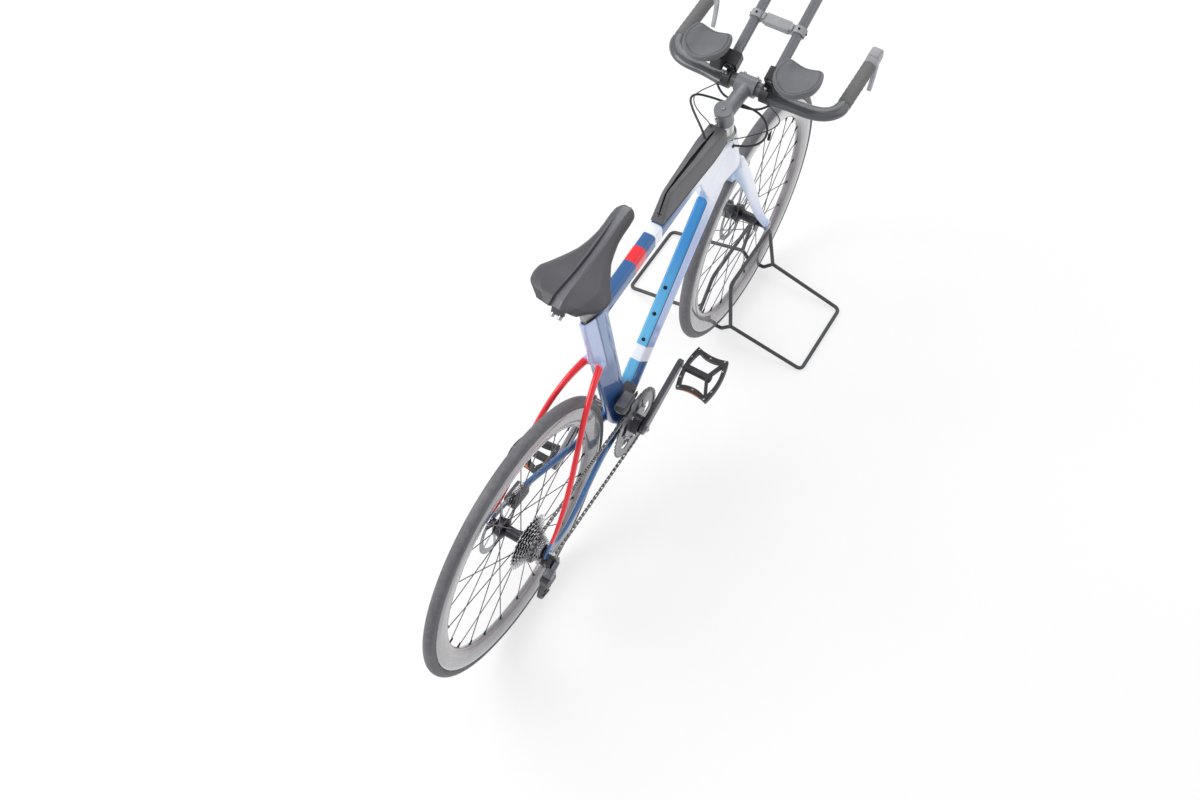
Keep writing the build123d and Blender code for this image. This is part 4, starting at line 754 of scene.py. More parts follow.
class CopyTree:
    """The node group that sets copies of a template on a mesh's points."""

    made: Optional[CopyTree] = None

    def __init__(self) -> None:
        """Lay out the group's inputs and nodes."""
        self.tree = bpy.data.node_groups.new("set copies", "GeometryNodeTree")
        new_socket = self.tree.interface.new_socket
        kinds = {"Geometry": "Geometry", "Template": "Object", "Finish": "Material"}
        inputs = {name: new_socket(name=name, in_out="INPUT", socket_type=f"NodeSocket{kind}")
                  for name, kind in kinds.items()}
        self.keys = {name: socket.identifier for name, socket in inputs.items()}
        new_socket(name="Geometry", in_out="OUTPUT", socket_type="NodeSocketGeometry")
        way_in = self.tree.nodes.new("NodeGroupInput").outputs
        template = self.add("GeometryNodeObjectInfo", {"transform_space": "ORIGINAL"},
                            {"Object": way_in["Template"]})
        turn = self.add("FunctionNodeEulerToRotation", {}, {0: self.attribute("turn", "FLOAT_VECTOR")})
        copies = self.add("GeometryNodeInstanceOnPoints", {},
                          {"Points": way_in["Geometry"], "Instance": template["Geometry"],
                           "Rotation": turn[0], "Scale": self.attribute("size", "FLOAT")})
        solid = self.add("GeometryNodeRealizeInstances", {}, {0: copies[0]})
        dressed = self.add("GeometryNodeSetMaterial", {},
                           {"Geometry": solid[0], "Material": way_in["Finish"]})
        self.add("NodeGroupOutput", {}, {0: dressed[0]})

    def add(self, kind: str, settings: dict, links: dict) -> bpy.types.NodeOutputs:
        """Add a node with its settings and the sockets that feed it, and return its outputs."""
        made = self.tree.nodes.new(kind)
        for name, value in settings.items():
            setattr(made, name, value)
        for key, socket in links.items():
            self.tree.links.new(socket, made.inputs[key])
        return made.outputs

    def attribute(self, name: str, kind: str) -> bpy.types.NodeSocket:
        """Return the socket of a value kept on the points."""
        outputs = self.add("GeometryNodeInputNamedAttribute", {"data_type": kind}, {})
        self.tree.nodes[-1].inputs["Name"].default_value = name
        return next(socket for socket in outputs if socket.enabled and socket.name == "Attribute")

    @classmethod
    def place(cls, name: str, template: Piece, spots: Sequence[Spot], finish: Finish) -> Piece:
        """Set a template's copies on spots as one plain mesh, and remove the template.

        Args:
            name: The made piece's name.
            template: The object to copy.
            spots: Where each copy goes.
            finish: The copies' finish.

        Returns:
            The piece.
        """
        cls.made = cls.made or cls()
        mesh = bpy.data.meshes.new(name)
        mesh.from_pydata([tuple(spot.place) for spot in spots], [], [])
        turns = mesh.attributes.new("turn", "FLOAT_VECTOR", "POINT")
        turns.data.foreach_set("vector", [part for spot in spots for part in spot.turn()])
        sizes = mesh.attributes.new("size", "FLOAT", "POINT")
        sizes.data.foreach_set("value", [spot.size for spot in spots])
        piece = add_object(name, mesh)
        modifier = piece.modifiers.new("copies", "NODES")
        modifier.node_group = cls.made.tree
        modifier[cls.made.keys["Template"]] = template
        modifier[cls.made.keys["Finish"]] = finish.material
        made = apply_modifiers(piece)
        for unused in ("turn", "size"):
            if unused in made.data.attributes:
                made.data.attributes.remove(made.data.attributes[unused])
        bpy.data.objects.remove(template)
        return made


# ---------------------------------------------------------------- the bike's places
FRONT_AXLE, REAR_AXLE = mm(522.5, 0, 336), mm(-522.5, 0, 336)
WHEELS = {"front": (FRONT_AXLE, "front_wheel"), "rear": (REAR_AXLE, "rear_wheel")}
CRANK_CENTRE = mm(-111.5, 0, 267)
CRANK_RAY = polar(math.radians(20))
CRANK_LENGTH = 0.1725
SEAT_RAY = Vector((-0.19595, 0, 0.98061))
STEER_UP, STEER_AHEAD = Vector((-0.300706, 0, 0.953717)), Vector((0.953717, 0, 0.300706))
STEER_FOOT = mm(479.582, 0, 322.468)
HEAD_TOP = 0.50605
BAR_CENTRE = mm(407.5, 0, 876)
EXTENSION_TILT = math.radians(24)
EXTENSION_RAY, EXTENSION_UP = polar(EXTENSION_TILT), polar(EXTENSION_TILT + math.pi / 2)
EXTENSION_FOOT = BAR_CENTRE + mm(8, 0, 20)
BRIDGE_CENTRE = EXTENSION_FOOT + EXTENSION_RAY * 0.128
KNUCKLE = REAR_AXLE + mm(-6, 0, -30)
UPPER_PULLEY, LOWER_PULLEY = REAR_AXLE + mm(12, 0, -74), REAR_AXLE + mm(40, 0, -130)
FRONT_CALIPER, REAR_CALIPER = FRONT_AXLE + mm(-52, 39, 62), REAR_AXLE + mm(78, 57, 10)
SADDLE_CLAMP = mm(-240.4, 0, 918)


def on_axis(distance: float, ahead: float = 0.0, side: float = 0.0) -> Vector:
    """Return a place by its distance up the steering axis."""
    return STEER_FOOT + STEER_UP * distance + STEER_AHEAD * ahead + SIDE * side


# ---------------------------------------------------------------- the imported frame
class Frame:
    """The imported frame: its nodes, their finishes and copies of them."""

    FINISHES = {
        Finish.POST: ("seatpost",), Finish.BAR: ("base_bar",), Finish.TUBE: ("extensions",),
        Finish.HUB: ("front_hub", "rear_hub"), Finish.SPOKE: ("front_spokes", "rear_spokes"),
        Finish.ROTOR: ("front_rotor", "rear_rotor"), Finish.GEAR: ("cassette", "derailleur_cage"),
        Finish.RING: ("chainrings",), Finish.CRANK: ("crank_left", "crank_right"),
        Finish.STEEL: ("front_axle", "rear_axle", "pedal_axles", "saddle_rails"),
        Finish.SPACER: ("headset_spacers",), Finish.STEM: ("stem", "top_cap"),
        Finish.BRACKET: ("pad_brackets",), Finish.BRIDGE: ("bridge_mount",),
        Finish.PEDAL: ("pedal_left", "pedal_right"), Finish.STAND: ("wheel_stand",),
        Finish.CONTROL: ("shifters", "rear_derailleur", "front_derailleur"),
        Finish.CALIPER: ("front_caliper", "rear_caliper"),
    }

    def __init__(self) -> None:
        """Load the frame and dress its nodes."""
        self.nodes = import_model()["nodes"]
        self.start_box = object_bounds()
        for finish, names in self.FINISHES.items():
            for name in names:
                self.nodes[name].data.materials.clear()
                self.nodes[name].data.materials.append(finish.material)

    def copy(self, name: str) -> Piece:
        """Return a loose copy of a node with its doubled points merged."""
        mesh = self.nodes[name].data.copy()
        mesh.materials.clear()
        clean(mesh, 2e-6, turn_out=False)
        return add_object(name + "_copy", mesh)

    def skin(self, name: str, nodes: Sequence[str], grain: float, ease: int) -> Piece:
        """Return one flowing skin over several nodes.

        Args:
            name: The skin's name.
            nodes: The CAD nodes that it covers.
            grain: The size of its faces, in metres.
            ease: How many rounds of smoothing melt the joints between tubes.

        Returns:
            The skin.
        """
        piece = join(name, [self.copy(node) for node in nodes])
        remesh = piece.modifiers.new("skin", "REMESH")
        remesh.mode = "VOXEL"
        remesh.voxel_size = grain
        smooth = piece.modifiers.new("ease", "SMOOTH")
        smooth.factor = 0.5
        smooth.iterations = ease
        piece = apply_modifiers(piece)
        piece.data.shade_smooth()
        return piece

    def write_sizes(self) -> None:
        """Gather the frame's and the dressed model's boxes into a table that is left unused."""
        boxes = {"cad": [list(corner) for corner in self.start_box],
                 "visual": [list(corner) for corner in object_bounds()]}


@dataclass
class Monocoque:
    """The carbon frame's one flowing skin, with its painted fields marked on it."""

    frame: Frame
    grain: float = 0.0026
    ease: int = 12
    stay_edge: float = 0.002
    tube_edge: float = 0.006
    boss_normal: Vector = Vector((-0.7018, 0, 0.7124))
    post_top: Vector = mm(-217.2, 0, 796)
    post_half_length: float = 33
    post_half_width: float = 13

    NODES = ("main_frame", "seat_stays", "chain_stays")
    TUBES = {"seat_tube": (CRANK_CENTRE, SEAT_RAY, 0.039),
             "down_tube": (mm(-81.5, 0, 317), Vector((0.71238, 0, 0.70180)), 0.032),
             "top_tube": (mm(-212.2, 0, 771), Vector((0.99756, 0, 0.06976)), 0.021)}
    BOSSES = ((-1.4, 438.0), (44.2, 482.9), (89.8, 527.9))
    POST_OUTLINE = ((-33, 4), (-12, 12.4), (12, 13), (26, 9), (33, 0), (26, -9), (12, -13), (-12, -12.4),
                    (-33, -4))

    def build(self) -> None:
        """Build the skin and its details."""
        skin = self.frame.skin("frame_skin", self.NODES, self.grain, self.ease)
        self.mark_fields(skin)
        dress(skin, Finish.FRAME, "frame", self.NODES)
        self.bosses()
        self.collar()

    def bosses(self) -> None:
        """Set a steel insert with a dark hole at each bottle boss."""
        spots = [Spot(mm(x, 0, z) - self.boss_normal * 0.0015, self.boss_normal) for x, z in self.BOSSES]
        ring = turned("boss", Vector(), UP, [(0, 4.6), (1.9, 4.6), (2.4, 4.0), (2.4, 2.7)])
        inserts = CopyTree.place("boss_inserts", ring, spots, Finish.DARK_STEEL)
        dress(inserts, Finish.DARK_STEEL, "frame")

    def mark_fields(self, skin: Piece) -> None:
        """Mark on each point which tube or stay it belongs to."""
        trees = {}
        for node in self.NODES:
            source = self.frame.nodes[node].data
            trees[node] = BVHTree.FromPolygons([vertex.co for vertex in source.vertices],
                                               [tuple(face.vertices) for face in source.polygons])
        masks = {name: [] for name in ("top_tube", "down_tube", "seat_stay", "chain_stay")}
        for vertex in skin.data.vertices:
            gaps = {node: tree.find_nearest(vertex.co)[3] for node, tree in trees.items()}
            reach = {}
            for tube, (foot, ray, half) in self.TUBES.items():
                offset = Vector((vertex.co.x, 0, vertex.co.z)) - foot
                reach[tube] = (offset - ray * offset.dot(ray)).length - half
            for name, field, key, edge in (("seat_stay", gaps, "seat_stays", self.stay_edge),
                                           ("chain_stay", gaps, "chain_stays", self.stay_edge),
                                           ("top_tube", reach, "top_tube", self.tube_edge),
                                           ("down_tube", reach, "down_tube", self.tube_edge)):
                others = min(gap for other, gap in field.items() if other != key)
                masks[name].append(min(1.0, max(0.0, 0.5 + (others - field[key]) / edge)))
        for name, values in masks.items():
            skin.data.attributes.new(name, "FLOAT", "POINT").data.foreach_set("value", values)

    def collar(self) -> None:
        """Put the dark seal round the seatpost where it enters the seat tube."""
        outline = spline(self.POST_OUTLINE, 5, closed=True)
        rings = [[self.post_top + mm(spot.x * (1 + grow / self.post_half_length),
                                     spot.y * (1 + grow / self.post_half_width), height) for spot in outline]
                 for height, grow in ((-1, 0), (0, 1.0), (1.0, 1.4), (1.6, 0.8), (1.8, -0.4))]
        dress(ring_shell("seatpost_seal", rings), Finish.LIP, "frame")


@dataclass
class Fork:
    """The fork's flowing skin."""

    frame: Frame
    grain: float = 0.0022
    ease: int = 5

    def build(self) -> None:
        """Build the skin."""
        skin = self.frame.skin("fork_skin", ["fork"], self.grain, self.ease)
        dress(skin, Finish.FORK, "front_end", ["fork"])


@dataclass
class Wheel:
    """A deep wheel's tyre, rim, nipples and valve."""

    end: str
    radius: float = 0.336
    tyre_half: float = 0.013
    rim_radius: float = 0.315
    rim_inner: float = 0.265
    spokes: int = 12
    stagger: float = 0.25
    valve_at: float = 75

    rim_half: Keys = ((315, 10.6), (314.6, 12.2), (312, 13.1), (306, 13.5), (296, 13.2), (284, 11.7),
                      (274, 9.6), (269, 7.4), (266, 4.0), (265, 0))

    def build(self) -> None:
        """Build the front or rear wheel's pieces."""
        self.centre, self.body = WHEELS[self.end]
        self.tyre()
        self.rim()
        self.nipples()
        self.valve()

    def tyre(self) -> None:
        """Turn the tyre over the rim's bed."""
        middle = self.radius - self.tyre_half
        bead = math.acos((self.rim_radius - middle) / self.tyre_half)
        angles = [bead * (index / 15 - 1) for index in range(31)]
        section = [(middle + self.tyre_half * math.cos(angle), self.tyre_half * math.sin(angle))
                   for angle in angles]
        tyre = lathe(f"{self.end}_tyre_skin", section, self.centre)
        dress(tyre, Finish.TYRE, self.body, [f"{self.end}_tyre"])

    def rim(self) -> None:
        """Turn the rim's rounded section."""
        outline = self.rim_half + tuple((radius, -side) for radius, side in reversed(self.rim_half[:-1]))
        section = [(radius * MM, side * MM) for radius, side in outline]
        rim = lathe(f"{self.end}_rim_skin", section, self.centre)
        dress(rim, Finish.RIM, self.body, [f"{self.end}_rim"])

    def nipples(self) -> None:
        """Set a nipple where each spoke meets the rim."""
        rays = [polar((index + self.stagger * side) * TURN / self.spokes)
                for side in (-1, 1) for index in range(self.spokes)]
        spots = [Spot(self.centre + ray * (self.rim_inner + 0.0015), -ray) for ray in rays]
        nipple = turned("nipple", Vector(), UP, [(0, 2.6), (3, 2.6), (4, 2.1), (11, 1.9), (12, 1.3)], 10)
        nipples = CopyTree.place(f"{self.end}_nipples", nipple, spots, Finish.DARK_STEEL)
        dress(nipples, Finish.DARK_STEEL, self.body)

    def valve(self) -> None:
        """Stand a valve stem on the rim's inner edge."""
        ray = polar(math.radians(self.valve_at))
        profile = [(0, 4.2), (3, 4.2), (3.1, 3.0), (22, 3.0), (22.5, 3.8), (36, 3.8), (38, 2.4)]
        stem = turned(f"{self.end}_valve", self.centre + ray * (self.rim_inner + 0.001), -ray, profile, 20)
        dress(sharpen(stem), Finish.DARK_STEEL, self.body)


@dataclass
class Chain:
    """The chain's own links along the pitch line."""

    pitch: float = 12.7
    line: float = -0.046
    stops: Sequence[tuple[Vector, int, int]] = ((CRANK_CENTRE, 44, 1), (REAR_AXLE, 16, 1),
                                                (UPPER_PULLEY, 11, -1), (LOWER_PULLEY, 11, 1))

    def build(self) -> None:
        """Build the links."""
        spots = self.spots()
        outer = CopyTree.place("outer_links", self.link(5.2, 4.5), spots[0::2], Finish.CHAIN)
        inner = CopyTree.place("inner_links", self.link(3.6, 4.2, roller=True), spots[1::2], Finish.CHAIN)
        dress(sharpen(join("chain_links", [outer, inner])), Finish.CHAIN, "frame", ["chain"])

    def radius(self, teeth: int) -> float:
        """Return a sprocket's pitch radius."""
        return self.pitch * MM / 2 / math.sin(math.pi / teeth)

    def runs(self) -> list[tuple[Callable[[float], Vector], float]]:
        """Return the pitch line's stretches, each a place function and a length."""
        following_stops = self.stops[1:] + self.stops[:1]
        legs = []
        for (place, teeth, turn), (following, next_teeth, next_turn) in zip(self.stops, following_stops):
            span = following - place
            in_slit_shade, far = turn * self.radius(teeth), next_turn * self.radius(next_teeth)
            normal = math.atan2(span.z, span.x) + math.asin((in_slit_shade - far) / span.length) - math.pi / 2
            legs.append((place + polar(normal, in_slit_shade), following + polar(normal, far)))
        stretches = []
        for (start, end), (leaving, _), (hub, teeth, turn) in zip(legs, legs[1:] + legs[:1], following_stops):
            ray = (end - start).normalized()
            stretches.append((lambda along, start=start, ray=ray: start + ray * along, (end - start).length))
            first, last = (math.atan2(spot.z - hub.z, spot.x - hub.x) for spot in (end, leaving))
            reach = self.radius(teeth)
            stretches.append((lambda along, hub=hub, first=first, turn=turn, reach=reach:
                              hub + polar(first + turn * along / reach, reach),
                              (last - first) * turn % TURN * reach))
        return stretches

    def spots(self) -> list[Spot]:
        """Return each link's place and direction."""
        stretches = self.runs()
        total = sum(length for _, length in stretches)
        links = 2 * round(total / (self.pitch * MM) / 2)

        def at(along: float) -> Vector:
            """Return the pitch line's place a distance along it."""
            along %= total
            for place, length in stretches:
                if along <= length:
                    return place(along)
                along -= length
            return stretches[-1][0](stretches[-1][1])

        pins = [at(index * total / links) for index in range(links)]
        spots = []
        for pin, following in zip(pins, pins[1:] + pins[:1]):
            middle = (pin + following) / 2
            spots.append(Spot(Vector((middle.x, self.line, middle.z)), SIDE, following - pin))
        return spots

    def link(self, spread: float, half: float, roller: bool = False) -> Piece:
        """Make a link of two waisted plates with its rollers or pins, along X with Z through the pins."""
        outline = []
        for end, start in ((1, -130), (-1, 50)):
            for step in range(9):
                angle = math.radians(start + step * 260 / 8)
                outline.append((end * self.pitch / 2 + half * math.cos(angle), half * math.sin(angle)))
        parts = []
        for side in (-1, 1):
            rings = [[mm(x, y, side * spread / 2 + shift) for x, y in outline] for shift in (-0.5, 0.5)]
            parts.append(ring_shell("plate", rings))
        proud, radius = (0.0, 3.8) if roller else (0.9, 1.8)
        long = spread + 2 * proud
        for end in (-1, 1):
            profile = [(0, radius * 0.9), (0.2, radius), (long - 0.2, radius), (long, radius * 0.9)]
            parts.append(turned("pin", mm(end * self.pitch / 2, 0, -long / 2), UP, profile, 12))
        return join("link", parts)


# ---------------------------------------------------------------- soft pieces
@dataclass
class Saddle:
    """The saddle's padded cover: a channel between two ridges, creased wings and a cut-off tail."""

    tail_x: float = -343.5
    length: float = 258.0
    rail: float = 932.0
    width: Keys = ((0, 86), (0.05, 114), (0.1, 138), (0.14, 150), (0.2, 157), (0.27, 155), (0.36, 124),
                   (0.45, 95), (0.53, 72), (0.62, 57), (0.72, 47), (0.8, 44.5), (0.88, 45), (0.95, 42),
                   (0.985, 32), (1, 20))
    height: Keys = ((0, 11), (0.06, 23), (0.16, 31), (0.31, 33), (0.48, 31), (0.67, 30), (0.86, 28),
                    (0.96, 25), (1, 14))
    top: Keys = ((0, 24.0), (0.045, 32.0), (0.06, 34.5), (0.16, 36.5), (0.31, 36), (0.48, 37.5), (0.67, 42),
                 (0.86, 48), (0.96, 48.6), (1, 43))
    channel: Keys = ((0, 2.0), (0.06, 5.5), (0.3, 6.5), (0.6, 5.5), (0.8, 3.0), (0.95, 0.6), (1, 0))
    channel_half: Keys = ((0, 9.5), (0.15, 8.0), (0.4, 5.5), (0.7, 5.0), (1, 6.5))
    tail_shares: Sequence[float] = (0, 0.004, 0.01, 0.02, 0.03, 0.04, 0.047, 0.053, 0.06, 0.07, 0.085)
    tuck: float = 15.0

    def build(self) -> None:
        """Build the cover and what is under it."""
        shares = [*self.tail_shares, *(0.1 + 0.885 * index / 52 for index in range(53)), 0.993, 1.0]
        rings = [self.ring(share) for share in shares]
        middle = sum(rings[0], Vector()) / len(rings[0])
        rings.insert(0, [middle + (spot - middle) * 0.86 - AHEAD * 0.0012 for spot in rings[0]])
        cover = ring_shell("saddle_cover", rings)
        dress(cover, Finish.SADDLE, "frame", ["saddle"])
        self.clamps()
        self.bracket()

    def ring(self, share: float) -> list[Vector]:
        """Return one section, from the channel round the right wing and back."""
        half = sum(straight_map(self.width, share + shift) for shift in (-0.01, 0.0, 0.01)) / 6
        high = curve_map(self.height, share)
        cup = curve_map(self.channel, share)
        fit = min(1.0, half / 20)
        floor = curve_map(self.channel_half, share) * fit
        wing = [(0.0, -cup), (floor * 0.8, -cup * 0.92), (floor + 1.0 * fit, -cup * 0.3),
                (floor + 2.6 * fit, 0.9), (floor + 5.2 * fit, 0.8), (0.60 * half, -1.0), (0.71 * half, -2.4),
                (0.93 * half, -0.30 * high), (half, -0.48 * high), (0.97 * half, -0.62 * high),
                (0.84 * half, -0.84 * high), (0.55 * half, -high), (0.0, -high)]
        keys = wing + [(-y, z) for y, z in reversed(wing[1:-1])]
        top = self.rail + curve_map(self.top, share)
        tuck = self.tuck * max(0.0, 1.0 - share / 0.13)
        return [mm(self.tail_x + share * self.length - tuck * spot.y / high, spot.x, top + spot.y)
                for spot in spline(keys, 4, closed=True)]

    @staticmethod
    def clamps() -> None:
        """Clamp the rails on the seatpost's head."""
        halves = (mm(19, 0, 0), mm(0, 6.5, 0), mm(0, 0, 7))
        clamps = [block("rail_clamp", SADDLE_CLAMP + mm(0, side * 22, 10), halves, 3) for side in (-1, 1)]
        dress(join("rail_clamps", clamps), Finish.BRACKET, "frame")

    @staticmethod
    def bracket() -> None:
        """Hang the small accessory bracket under the tail."""
        centre = mm(-331, 0, 933)
        plate = block("tail_bracket", centre, (mm(5, 0, -3), mm(0, 13, 0), mm(3, 0, 9)), 2)
        dress(plate, Finish.CALIPER, "frame")
        bolts = [turned("boss", centre + mm(-3, side * 8, -6), mm(-0.8, 0, -0.35),
                        [(0, 4.5), (9, 4.5), (10, 3.5), (10, 2)], 20) for side in (-1, 1)]
        dress(sharpen(join("tail_bracket_bolts", bolts)), Finish.STEEL, "frame")


@dataclass
class ArmPads:
    """The two cupped, padded arm rests with rolled rims."""

    centre: Vector = BAR_CENTRE + mm(-2, 0, 56)
    out: float = 0.106
    outline: Keys = ((47.5, -30), (46.3, 0), (47.5, 30), (45, 41), (30, 47), (8, 49.6), (-18, 44),
                     (-38, 26), (-47.6, 0), (-38, -26), (-18, -44), (8, -49.6), (30, -47), (45, -41))
    top: Sequence[float] = (0.03, 0.12, 0.24, 0.36, 0.48, 0.6, 0.7, 0.78, 0.83)
    cup_radius: float = 75.0
    groove: float = 1.6
    foot: float = 0.4

    def build(self) -> None:
        """Build both rests."""
        outline = spline(self.outline, 8, closed=True)
        pads = {name: self.pad(name, side, outline) for name, side in (("right", -1), ("left", 1))}
        for pad in pads.values():
            dress(pad, Finish.PAD, "front_end")
        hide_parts("arm_pads")

    def pad(self, name: str, side: int, outline: Sequence[Vector]) -> Piece:
        """Build one rest from rings that run from its middle over the rim to its underside."""
        centre = self.centre + SIDE * side * self.out
        rings = [[(spot.x * share, spot.y * share, self.surface(spot.x * share, spot.y * share) - sunk)
                  for spot in outline]
                 for share, sunk in (*((share, 0.0) for share in self.top), (0.845, self.groove),
                                     (0.865, self.groove), (0.885, 0.0))]
        for degrees in range(80, -91, -17):
            angle = math.radians(degrees)
            grow = 0.93 + 0.07 * math.cos(angle)
            rings.append([(spot.x * grow, spot.y * grow,
                           self.surface(spot.x * 0.9, spot.y * 0.9) / 2 * (1 + math.sin(angle)))
                          for spot in outline])
        rings += [[(spot.x * share, spot.y * share, self.foot) for spot in outline]
                  for share in (0.88, 0.5, 0.05)]
        return ring_shell(f"arm_pad_{name}", [[centre + mm(*spot) for spot in ring] for ring in rings])

    def surface(self, x: float, y: float) -> float:
        """Return the height of a rest's upper face over its base."""
        hollow = self.cup_radius - math.sqrt(max(0.0, self.cup_radius ** 2 - y ** 2))
        lip = 2.0 * min(1.0, max(0.0, (math.hypot(x * 0.9, y) - 34) / 8))
        dent = 1.4 * math.exp(-((x - 47) / 9) ** 2)
        return min(16.0, 10.5 + hollow) + lip - dent


@dataclass
class Cords:
    """The brake hoses and shift wires from the bars to the frame."""

    hoses: Sequence = (
        ((391.5, -62, 862), (373.5, -50, 856), (366.5, -14, 853), (361.5, 24, 853), (349.5, 58, 862),
         (327.5, 80, 878), (295.5, 78, 892), (263.5, 52, 898), (242.5, 22, 888), (235.0, 5, 868),
         (233.5, 1, 852)),
        ((391.5, 62, 862), (379.5, 47, 853), (378.5, 18, 848), (380.5, -14, 845), (382.5, -44, 841),
         (377.5, -67, 829), (363.5, -80, 811), (343.5, -74, 797), (328.5, -52, 790), (323.5, -33, 787),
         (316.5, -16, 785)))
    wires: Sequence = (
        ((389.5, 46, 884), (371.5, 60, 876), (357.5, 80, 864), (337.5, 90, 858), (313.5, 74, 860),
         (293.5, 48, 864), (279.5, 22, 868), (269.5, 6, 862), (265.5, 0, 848)),
        ((389.5, -46, 884), (377.5, -68, 874), (383.5, -90, 854), (383.5, -96, 834), (369.5, -84, 822),
         (351.5, -62, 813), (335.5, -40, 806), (324.5, -24, 802), (315.5, -12, 800)))

    def build(self) -> None:
        """Build the four cords and their grommets."""
        for name, routes, radius, node in (("hose", self.hoses, 2.5, "brake_hoses"),
                                           ("wire", self.wires, 1.2, "shift_wires")):
            for side, route in zip(("left", "right"), routes):
                cord = self.cord(f"{name}_{side}", route, radius * MM)
                cord.data.materials.append(Finish.HOSE.material)
                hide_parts(node)
                mm(*route[2])
                mm(*route[-2])
                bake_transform(cord)
            self.grommets(name, routes, radius + 0.5)

    @staticmethod
    def grommets(name: str, routes: Sequence, hole: float) -> None:
        """Seat a rubber ring where each cord enters the frame or the box."""
        profile = [(0, hole + 2.2), (2, hole + 2.4), (3.5, hole + 1.2), (3.8, hole)]
        rings = []
        for end, before in ((mm(*route[-1]), mm(*route[-2])) for route in routes):
            ray = (before - end).normalized()
            rings.append(turned("grommet", end + ray * 0.006, ray, profile, 24))
        dress(join(f"{name}_grommets", rings), Finish.LIP, "frame")

    @staticmethod
    def cord(name: str, route: Sequence[tuple], radius: float) -> Piece:
        """Run a round cord along a route as a smooth curve."""
        curve = bpy.data.curves.new(name, "CURVE")
        curve.dimensions = "3D"
        curve.bevel_depth = radius
        curve.bevel_resolution = 4
        line = curve.splines.new("NURBS")
        line.points.add(len(route) - 1)
        for point, spot in zip(line.points, route):
            point.co = (*mm(*spot), 1.0)
        line.order_u = 3
        line.use_endpoint_u = True
        line.resolution_u = 10
        made = apply_modifiers(add_object(name, curve))
        made.data.shade_smooth()
        return made


# ---------------------------------------------------------------- cockpit
@dataclass
class Cockpit:
    """The base bar's grips and levers, and the bridge between the extensions."""

    grip_start: Vector = BAR_CENTRE + mm(60, 0, -9)
    grip_end: Vector = BAR_CENTRE + mm(190, 0, 3)
    grip_y: float = 0.197
    bar_radius: float = 0.0126
    tape_radius: float = 0.0146
    tape_step: float = 0.0009
    wraps: int = 9
    lap: float = 0.88
    hood: Sequence = ((-9, 11, 12, 0), (-7, 13.5, 15, 0), (2, 14, 16.5, 1), (12, 14, 17, 1.5),
                      (26, 13.5, 17, 1.5), (34, 13, 15.5, 1), (38, 11.5, 12.5, 0), (40, 7, 7, -1))

    def build(self) -> None:
        """Build the cockpit's pieces."""
        self.ray = (self.grip_end - self.grip_start).normalized()
        self.rise = self.ray.cross(SIDE)
        self.grips()
        self.levers()
        self.bridge()

    def grips(self) -> None:
        """Wind the tape round both grips."""
        starts = [self.grip_start + SIDE * side * self.grip_y + self.ray * 0.001 for side in (-1, 1)]
        grips = join("bar_wrap", [self.wound(start) for start in starts])
        dress(grips, Finish.TAPE, "front_end", ["bar_grips"])

    @staticmethod
    def bridge() -> None:
        """Add the square cross bar and hinged clamps between the extensions."""
        parts = [block("bridge_bar", BRIDGE_CENTRE,
                       (EXTENSION_RAY * 0.0115, SIDE * 0.030, EXTENSION_UP * 0.0105), 3)]
        for side in (-1, 1):
            parts.append(block("bridge_ear", BRIDGE_CENTRE + SIDE * side * 0.0325,
                               (EXTENSION_RAY * 0.008, SIDE * 0.0035, EXTENSION_UP * 0.013), 2))
        dress(join("bridge_bar", parts), Finish.BRIDGE, "front_end")

    def wound(self, start: Vector) -> Piece:
        """Return a wound tube whose overlaps step up along a spiral."""
        around, along = 40, 110
        length = (self.grip_end - self.grip_start).length - 0.004
        rings = []
        for step in range(along + 1):
            ring = []
            for index in range(around):
                angle = TURN * index / around
                phase = (step / along * self.wraps + index / around) % 1.0
                lift = phase if phase < self.lap else (1 - phase) / (1 - self.lap) * self.lap
                radius = self.bar_radius if step in (0, along) else self.tape_radius + self.tape_step * lift
                ray = SIDE * math.cos(angle) + self.rise * math.sin(angle)
                ring.append(start + self.ray * length * step / along + ray * radius)
            rings.append(ring)
        return mapped_skin("wound", rings, False, lambda row, spot: (spot / around, row / along))

    def levers(self) -> None:
        """Build the lever bodies and their blades."""
        bodies, blades = [], []
        for side in (-1, 1):
            end = self.grip_end + SIDE * side * self.grip_y
            stations = [Station(end + (self.ray * along + self.rise * lift) * MM, SIDE * across * MM,
                                self.rise * high * MM, 0.5) for along, across, high, lift in self.hood]
            bodies.append(loft("lever_body", stations, 32))
            for lift, width in ((17.6, 9.5), (15.6, 12.6)):
                bodies.append(block("lever_cap", end + self.ray * 0.019 + self.rise * lift * MM,
                                    (self.ray * 0.013, SIDE * width * MM, self.rise * 0.0018), 1.2))
            line = spline([end + self.ray * 0.030 + mm(0, 0, -4), end + self.ray * 0.030 + mm(11, 0, -22),
                           end + self.ray * 0.044 + mm(0, 0, -52), end + self.ray * 0.040 + mm(0, 0, -84),
                           end + self.ray * 0.034 + mm(0, 0, -107)], 6)
            stations = []
            for index, place in enumerate(line):
                slim = 1.4 * index / (len(line) - 1)
                run = (line[min(index + 1, len(line) - 1)] - line[max(index - 1, 0)]).normalized()
                across, rise = SIDE * (6.8 - slim) * MM, run.cross(SIDE) * (3.4 - slim) * MM
                stations.append(Station(place, across, rise, 0.75))
            blades.append(loft("lever_blade", stations, 20))
            pivot = end + self.ray * 0.024 + mm(0, -13.5, -4)
            blades.append(turned("pivot", pivot, SIDE, [(0, 3), (0.5, 3.6), (26.5, 3.6), (27, 3)], 20))
        dress(sharpen(join("lever_bodies", bodies), 50), Finish.HOOD, "front_end",
              ["brake_levers"])
        dress(join("lever_blades", blades), Finish.LEVER, "front_end")


